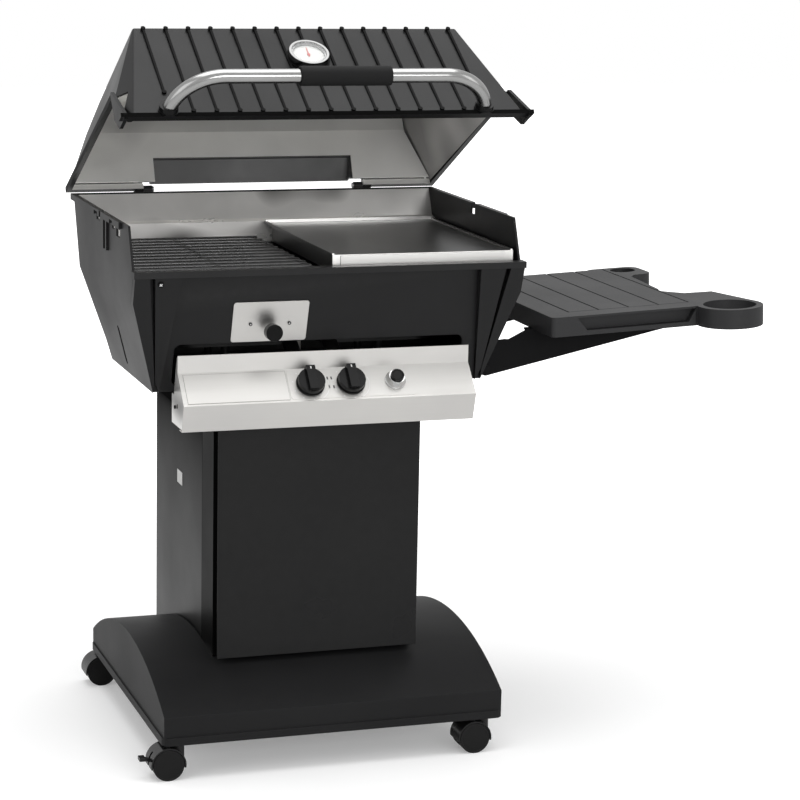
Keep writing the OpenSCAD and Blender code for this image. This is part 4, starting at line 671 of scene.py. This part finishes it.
# width of the rounded edge of each softened node
softEdges = {
    "firebox": 0.0016, "lid_casting": 0.0014, "base_cover": 0.011, "shelf_board": 0.0032,
    "control_panel": 0.0006, "post_frame": 0.0008, "post_shell": 0.0008, "post_door": 0.0009,
    "pull_plate": 0.0006, "knob_left": 0.0012, "knob_right": 0.0012, "shutter_knob": 0.0018,
    "spark_button": 0.0012, "spark_collar": 0.0006, "shelf_arms": 0.0008, "shelf_bracket": 0.0008,
    "griddle": 0.0008, "handle_grip": 0.0022, "handle_feet": 0.001, "thermometer_case": 0.0008,
    "caster_hood_fl": 0.001, "caster_hood_fr": 0.001, "caster_hood_bl": 0.001, "caster_hood_br": 0.001,
    "caster_wheels_fl": 0.0016, "caster_wheels_fr": 0.0016, "caster_wheels_bl": 0.0016,
    "caster_wheels_br": 0.0016, "brake_lever_fl": 0.0012, "brake_lever_br": 0.0012,
    "panel_cheeks": 0.0005, "cooking_grid": 0.001, "handle_tube": 0.0003, "post_top_plate": 0.0008,
}
roundSteps = {"base_cover": 4, "shelf_board": 3}
softPieces = {}
for node, width in softEdges.items():
    softPieces[node] = softened(node, width, roundSteps.get(node, softening["steps"]))
print("softened:", len(softPieces))

# the lid drawn closed: its hinge and the foot of its front face, each as back and up
lidPlan = {
    "hinge": (0.235, 0.936),
    "open": 27.2,
    "faceFoot": (-0.284, 0.8745),
    "faceAngle": 58.3015,
    "middle": -0.004,
    "dialUp": 0.154629,
}
# limits within which a face of the lid belongs to its ribs, rim, vent hood or bare inside
lidFaces = {
    "ribPitch": 0.0393,
    "ribsEachSide": 7,
    "ribHalf": 0.0046,
    "ribHeight": (0.0003, 0.0045),
    "ribUp": (0, 0.25),
    "ribReach": 0.29,
    "barFront": -0.2875,
    "barHeight": (0.867, 0.8758),
    "lipOut": 0.3425,
    "lipFront": -0.215,
    "lipHeight": (0.933, 0.9448),
    "hoodHalf": 0.191,
    "hoodBack": 0.215,
    "hoodTop": 0.992,
    "hoodNormal": 0.6,
    "tabFront": -0.24,
    "tabOut": 0.31,
    "insideOut": 0.347,
    "insideFoot": 0.935,
    "insideDepth": -0.003,
    "insideMiddle": 0.95,
    "insideFacing": -0.01,
    "wallRight": 0.18,
    "wallNormal": -0.6,
}
# boxes round the shaded side of the post's door and the frame beside it, which are given a near-black coat as
# painted shade
revealBoxes = {
    "door": ((-0.19, -0.135), (-0.2135, -0.18), (0.16, 0.59)),
    "frame": ((-0.184, -0.13), (-0.1865, -0.1825), (-1, 2)),
}
slopeFacing = 0.5


def within(value, limits):
    return limits[0] < value < limits[1]


def closedLid(place, plan=lidPlan):
    # a point of the open lid as drawn with the lid closed: across, back and up
    turn = math.radians(plan["open"])
    y = place.y - drawn.y - plan["hinge"][0]
    z = place.z - plan["hinge"][1]
    return Vector((place.x - drawn.x, plan["hinge"][0] + y * math.cos(turn) - z * math.sin(turn),
                   plan["hinge"][1] + y * math.sin(turn) + z * math.cos(turn)))


def onFace(place, plan=lidPlan):
    # across, up the lid's front face, and height above it
    p = closedLid(place)
    turn = math.radians(plan["faceAngle"])
    y, z = p.y - plan["faceFoot"][0], p.z - plan["faceFoot"][1]
    return Vector((p.x, y * math.cos(turn) + z * math.sin(turn), z * math.cos(turn) - y * math.sin(turn)))


# the ribs of the lid's face, which are given a near-black coat as painted shade
def isRib(center, normal, plan=lidFaces):
    p = onFace(center)
    nearest = round(p.x / plan["ribPitch"])
    if abs(nearest) > plan["ribsEachSide"] or abs(p.x - lidPlan["middle"]) >= plan["ribReach"]:
        return False
    onRib = abs(p.x - nearest * plan["ribPitch"]) < plan["ribHalf"]
    return onRib and within(p.y, plan["ribUp"]) and within(p.z, plan["ribHeight"])


def isRim(center, normal, plan=lidFaces):
    # the bar along the front and the lips of the two sides, which are given a near-black coat as painted shade
    p = closedLid(center)
    bar = p.y < plan["barFront"] and within(p.z, plan["barHeight"])
    lip = abs(p.x) > plan["lipOut"] and p.y > plan["lipFront"] and within(p.z, plan["lipHeight"])
    return bar or lip


def isHood(center, normal, plan=lidFaces):
    # the hood over the vents at the back
    p = closedLid(center)
    inReach = abs(p.x) < plan["hoodHalf"] and p.y > plan["hoodBack"] and p.z < plan["hoodTop"]
    return inReach and normal.y < plan["hoodNormal"]


def isInside(center, normal, plan=lidFaces):
    # the bare walls round the lid's hollow, without the tabs at its front corners
    p = closedLid(center)
    if p.y < plan["tabFront"] and abs(p.x) > plan["tabOut"]:
        return False
    if onFace(center).z > plan["insideDepth"] or abs(p.x) > plan["insideOut"] or p.z < plan["insideFoot"]:
        return False
    turn = math.radians(lidPlan["open"])
    up = normal.y * math.sin(turn) + normal.z * math.cos(turn)
    back = normal.y * math.cos(turn) - normal.z * math.sin(turn)
    outward = normal.x * p.x + back * p.y + up * (p.z - plan["insideMiddle"])
    return outward < plan["insideFacing"]


def isWall(center, normal, plan=lidFaces):
    # the hollow's right-hand wall, which faces away from the light and is given a darker steel as painted shade
    onRight = center.x > drawn.x + plan["wallRight"] and normal.x < plan["wallNormal"]
    return onRight and isInside(center, normal)


def isReveal(center, normal, boxes=revealBoxes):
    p = center - drawn
    return any(all(within(p[i], box[i]) for i in range(3)) for box in boxes.values())


def isSlope(center, normal):
    # faces that look forward and up, given a rougher copy of the panel steel whose lighter colour is painted light
    return normal.y < -slopeFacing and normal.z > slopeFacing


# the slope's lighter steel is painted light
paintFaces(softPieces["control_panel"], "slopeSteel", isSlope)
# painted shade on the door's and frame's shaded side
paintFaces(softPieces["post_door"], "revealShade", isReveal)
paintFaces(softPieces["post_frame"], "revealShade", isReveal)
paintFaces(softPieces["lid_casting"], "lidSteel", isInside)
# painted shade on the lid's right inner wall
paintFaces(softPieces["lid_casting"], "wallShadeSteel", isWall)
# painted shade on the lid's ribs, front bar and lips
paintFaces(softPieces["lid_casting"], "paintedShadeBlack", isRib)
paintFaces(softPieces["lid_casting"], "paintedShadeBlack", isRim)
paintFaces(softPieces["lid_casting"], "hoodMetal", isHood)


marksInputs = (
    ("Count", "NodeSocketInt", 4),
    ("Radius", "NodeSocketFloat", 0.01),
    ("Start", "NodeSocketFloat", 0.0),
    ("Step", "NodeSocketFloat", 1.5708),
    ("Bar Length", "NodeSocketFloat", 0.002),
    ("Bar Width", "NodeSocketFloat", 0.001),
    ("Bar Height", "NodeSocketFloat", 0.0002),
    ("Finish", "NodeSocketMaterial", None),
)


def makeMarksTree(ins):
    # little bars set round a circle, their length along its radius
    tree = bpy.data.node_groups.new("radialMarks", "GeometryNodeTree")
    for label, kind, value in ins:
        socket = tree.interface.new_socket(label, in_out="INPUT", socket_type=kind)
        if value is not None:
            socket.default_value = value
    tree.interface.new_socket("Geometry", in_out="OUTPUT", socket_type="NodeSocketGeometry")
    inside = tree.nodes.new("NodeGroupInput").outputs
    outside = tree.nodes.new("NodeGroupOutput")
    index = tree.nodes.new("GeometryNodeInputIndex")

    def reckon(operation, first, second=None):
        node = tree.nodes.new("ShaderNodeMath")
        node.operation = operation
        tree.links.new(first, node.inputs[0])
        if second:
            tree.links.new(second, node.inputs[1])
        return node.outputs[0]

    angle = reckon("ADD", reckon("MULTIPLY", index.outputs[0], inside["Step"]), inside["Start"])
    place = tree.nodes.new("ShaderNodeCombineXYZ")
    tree.links.new(reckon("MULTIPLY", reckon("COSINE", angle), inside["Radius"]), place.inputs["X"])
    tree.links.new(reckon("MULTIPLY", reckon("SINE", angle), inside["Radius"]), place.inputs["Y"])
    points = tree.nodes.new("GeometryNodePoints")
    tree.links.new(inside["Count"], points.inputs["Count"])
    tree.links.new(place.outputs[0], points.inputs["Position"])
    size = tree.nodes.new("ShaderNodeCombineXYZ")
    for axis, label in (("X", "Bar Length"), ("Y", "Bar Width"), ("Z", "Bar Height")):
        tree.links.new(inside[label], size.inputs[axis])
    bar = tree.nodes.new("GeometryNodeMeshCube")
    tree.links.new(size.outputs[0], bar.inputs["Size"])
    turn = tree.nodes.new("ShaderNodeCombineXYZ")
    tree.links.new(angle, turn.inputs["Z"])
    rotation = tree.nodes.new("FunctionNodeEulerToRotation")
    tree.links.new(turn.outputs[0], rotation.inputs[0])
    spread = tree.nodes.new("GeometryNodeInstanceOnPoints")
    tree.links.new(points.outputs[0], spread.inputs["Points"])
    tree.links.new(bar.outputs["Mesh"], spread.inputs["Instance"])
    tree.links.new(rotation.outputs[0], spread.inputs["Rotation"])
    real = tree.nodes.new("GeometryNodeRealizeInstances")
    tree.links.new(spread.outputs[0], real.inputs[0])
    finishNode = tree.nodes.new("GeometryNodeSetMaterial")
    tree.links.new(real.outputs[0], finishNode.inputs["Geometry"])
    tree.links.new(inside["Finish"], finishNode.inputs["Material"])
    tree.links.new(finishNode.outputs[0], outside.inputs[0])
    return tree


marksTree = makeMarksTree(marksInputs)


def marks(place, finishName, count, radius, start, step, bar):
    # one set of marks as a plain mesh, moved to its place; bar is a mark's length, width and height
    values = {"Count": count, "Radius": radius, "Start": start, "Step": step, "Finish": finish[finishName],
              "Bar Length": bar[0], "Bar Width": bar[1], "Bar Height": bar[2]}
    holder = bpy.data.objects.new("marks", bpy.data.meshes.new("marks"))
    bpy.context.scene.collection.objects.link(holder)
    layout = holder.modifiers.new("layout", "NODES")
    layout.node_group = marksTree
    for item in marksTree.interface.items_tree:
        if item.in_out == "INPUT":
            layout[item.identifier] = values[item.name]
    bpy.context.view_layer.update()
    mesh = bpy.data.meshes.new_from_object(holder.evaluated_get(bpy.context.evaluated_depsgraph_get()))
    bpy.data.objects.remove(holder)
    mesh.transform(place)
    return mesh


def joined(name, meshes, body):
    # several meshes as one piece of a body
    work = bmesh.new()
    mats = []
    for mesh in meshes:
        before = len(work.faces)
        work.from_mesh(mesh)
        work.faces.ensure_lookup_table()
        mat = mesh.materials[0]
        if mat not in mats:
            mats.append(mat)
        for face in work.faces[before:]:
            face.material_index = mats.index(mat)
    done = bpy.data.meshes.new(name)
    bmesh.ops.recalc_face_normals(work, faces=work.faces)
    work.to_mesh(done)
    work.free()
    for mat in mats:
        done.materials.append(mat)
    piece = bpy.data.objects.new(name, done)
    bpy.context.scene.collection.objects.link(piece)
    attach(piece, body)
    return piece


# the sloping front of the control panel: its middle, its slant and what is mounted on it
panelPlan = {
    "faceY": -0.261924,
    "faceZ": 0.658262,
    "slant": 46.0,
    "knobs": (-0.034, 0.038),
    "plateTop": 0.0009,
}


def turnX(degrees):
    return Matrix.Rotation(math.radians(degrees), 4, "X")


def onPanel(x, up, height, plan=panelPlan):
    foot = Matrix.Translation(drawn + Vector((x, plan["faceY"], plan["faceZ"])))
    return foot @ turnX(plan["slant"]) @ Matrix.Translation((0, up, height))


def onLid(x, up, height, plan=lidPlan):
    hinge = Vector((0, plan["hinge"][0], plan["hinge"][1]))
    foot = Vector((x, plan["faceFoot"][0], plan["faceFoot"][1]))
    opened = Matrix.Translation(hinge) @ turnX(-plan["open"]) @ Matrix.Translation(-hinge)
    face = Matrix.Translation(foot) @ turnX(plan["faceAngle"])
    return Matrix.Translation(drawn) @ opened @ face @ Matrix.Translation((0, up, height))


def strip(place, size, finishName):
    # a thin flat bar, centred on its place; size is across, up and thick
    work = bmesh.new()
    bmesh.ops.create_cube(work, size=1.0, matrix=Matrix.Diagonal(size + (1,)))
    mesh = bpy.data.meshes.new("strip")
    work.to_mesh(mesh)
    work.free()
    mesh.materials.append(finish[finishName])
    mesh.transform(place)
    return mesh


dialPlan = {
    "ticks": 31,
    "longEvery": 5,
    "radius": 0.0235,
    "longRadius": 0.0225,
    "first": -2.36,
    "sweep": 4.71,
    "top": 0.00806,
    "tick": (0.0022, 0.0004, 0.0001),
    "longTick": (0.0042, 0.0008, 0.00012),
}


def makeDialTicks(plan):
    step = plan["sweep"] / (plan["ticks"] - 1)
    longCount = (plan["ticks"] - 1) // plan["longEvery"] + 1
    place = onLid(lidPlan["middle"], lidPlan["dialUp"], plan["top"]) @ Matrix.Rotation(math.pi / 2, 4, "Z")
    ticks = marks(place, "inkAndSlotShade", plan["ticks"], plan["radius"], plan["first"], step, plan["tick"])
    longTicks = marks(place, "inkAndSlotShade", longCount, plan["longRadius"], plan["first"],
                      step * plan["longEvery"], plan["longTick"])
    joined("dial_ticks", [ticks, longTicks], "lid")


makeDialTicks(dialPlan)

printPlan = {
    "inkAbove": 0.00005,
    "dots": {"count": 5, "radius": 0.0305, "start": 2.3, "step": 0.62, "bar": (0.0019, 0.0019, 0.00012)},
    "arc": {"count": 34, "radius": 0.0335, "start": -1.05, "step": 0.04, "bar": (0.0009, 0.0015, 0.00012)},
    "signs": ((-0.0035, 0.011), (0.0035, 0.011), (-0.003, -0.006), (0.005, -0.007)),
    "signSize": (0.0024, 0.0058, 0.00012),
    "outlineLeft": -0.251,
    "outlineRight": -0.074,
    "outlineUp": 0.029,
    "outlineLine": 0.0004,
    "outlineHeight": 0.0009,
}


def makePanelPrint(plan):
    # dots and an arc round each knob, small signs between them and an outline at the left
    printed = []
    inkTop = panelPlan["plateTop"] + plan["inkAbove"]
    for x in panelPlan["knobs"]:
        place = onPanel(x, 0, inkTop)
        printed.append(marks(place, "inkAndSlotShade", **plan["dots"]))
        printed.append(marks(place, "inkAndSlotShade", **plan["arc"]))
    middle = sum(panelPlan["knobs"]) / 2
    for x, up in plan["signs"]:
        printed.append(strip(onPanel(middle + x, up, inkTop), plan["signSize"], "inkAndSlotShade"))
    left, right, halfUp = plan["outlineLeft"], plan["outlineRight"], plan["outlineUp"]
    line, height = plan["outlineLine"], plan["outlineHeight"]
    for up in (-halfUp, halfUp):
        place = onPanel((left + right) / 2, up, height / 2)
        printed.append(strip(place, (right - left, line, height), "dullSteel"))
    for x in (left, right):
        printed.append(strip(onPanel(x, 0, height / 2), (line, halfUp * 2, height), "dullSteel"))
    joined("panel_print", printed, "cart")


makePanelPrint(printPlan)

# the white line on each knob
indexPlan = {"up": 0.0195, "top": 0.02405, "size": (0.0022, 0.0048, 0.0002)}
for side, x in zip(("left", "right"), panelPlan["knobs"]):
    index = strip(onPanel(x, indexPlan["up"], indexPlan["top"]), indexPlan["size"], "indexWhite")
    joined("knob_index_" + side, [index], "knob_" + side)

# dark crosses painted as the shade in the slots of the screws in the pull plate and at the left front corner
screwPlan = {
    "plateFoot": (-0.1, -0.235259, 0.751),
    "plateTilt": 18.2391,
    "plateAcross": 0.034,
    "plateUp": 0.013,
    "plateHead": 0.0042,
    "plateCross": {"radius": 0.0008, "start": 0.4, "bar": (0.0018, 0.0007, 0.0002)},
    "cornerFoot": (-0.298, -0.281643, 0.841),
    "cornerTilt": 20.7517,
    "cornerHead": 0.0025,
    "cornerCross": {"radius": 0.0014, "start": 0.7, "bar": (0.003, 0.0012, 0.0003)},
}


def onWall(foot, tilt, x, up, outward):
    leaned = Matrix.Translation(drawn + Vector(foot)) @ turnX(tilt)
    return leaned @ Matrix.Translation((x, -outward, up)) @ turnX(90)


def makeCross(place, finishName, spec):
    return marks(place, finishName, count=4, step=math.pi / 2, **spec)


def makeScrewCrosses(plan):
    crosses = []
    for sign in (-1, 1):
        place = onWall(plan["plateFoot"], plan["plateTilt"], sign * plan["plateAcross"], plan["plateUp"],
                       plan["plateHead"])
        crosses.append(makeCross(place, "inkAndSlotShade", plan["plateCross"]))
    place = onWall(plan["cornerFoot"], plan["cornerTilt"], 0, 0, plan["cornerHead"])
    crosses.append(makeCross(place, "paintedShadeBlack", plan["cornerCross"]))
    joined("screw_crosses", crosses, "cart")


makeScrewCrosses(screwPlan)
print("marks, print and screw crosses made")
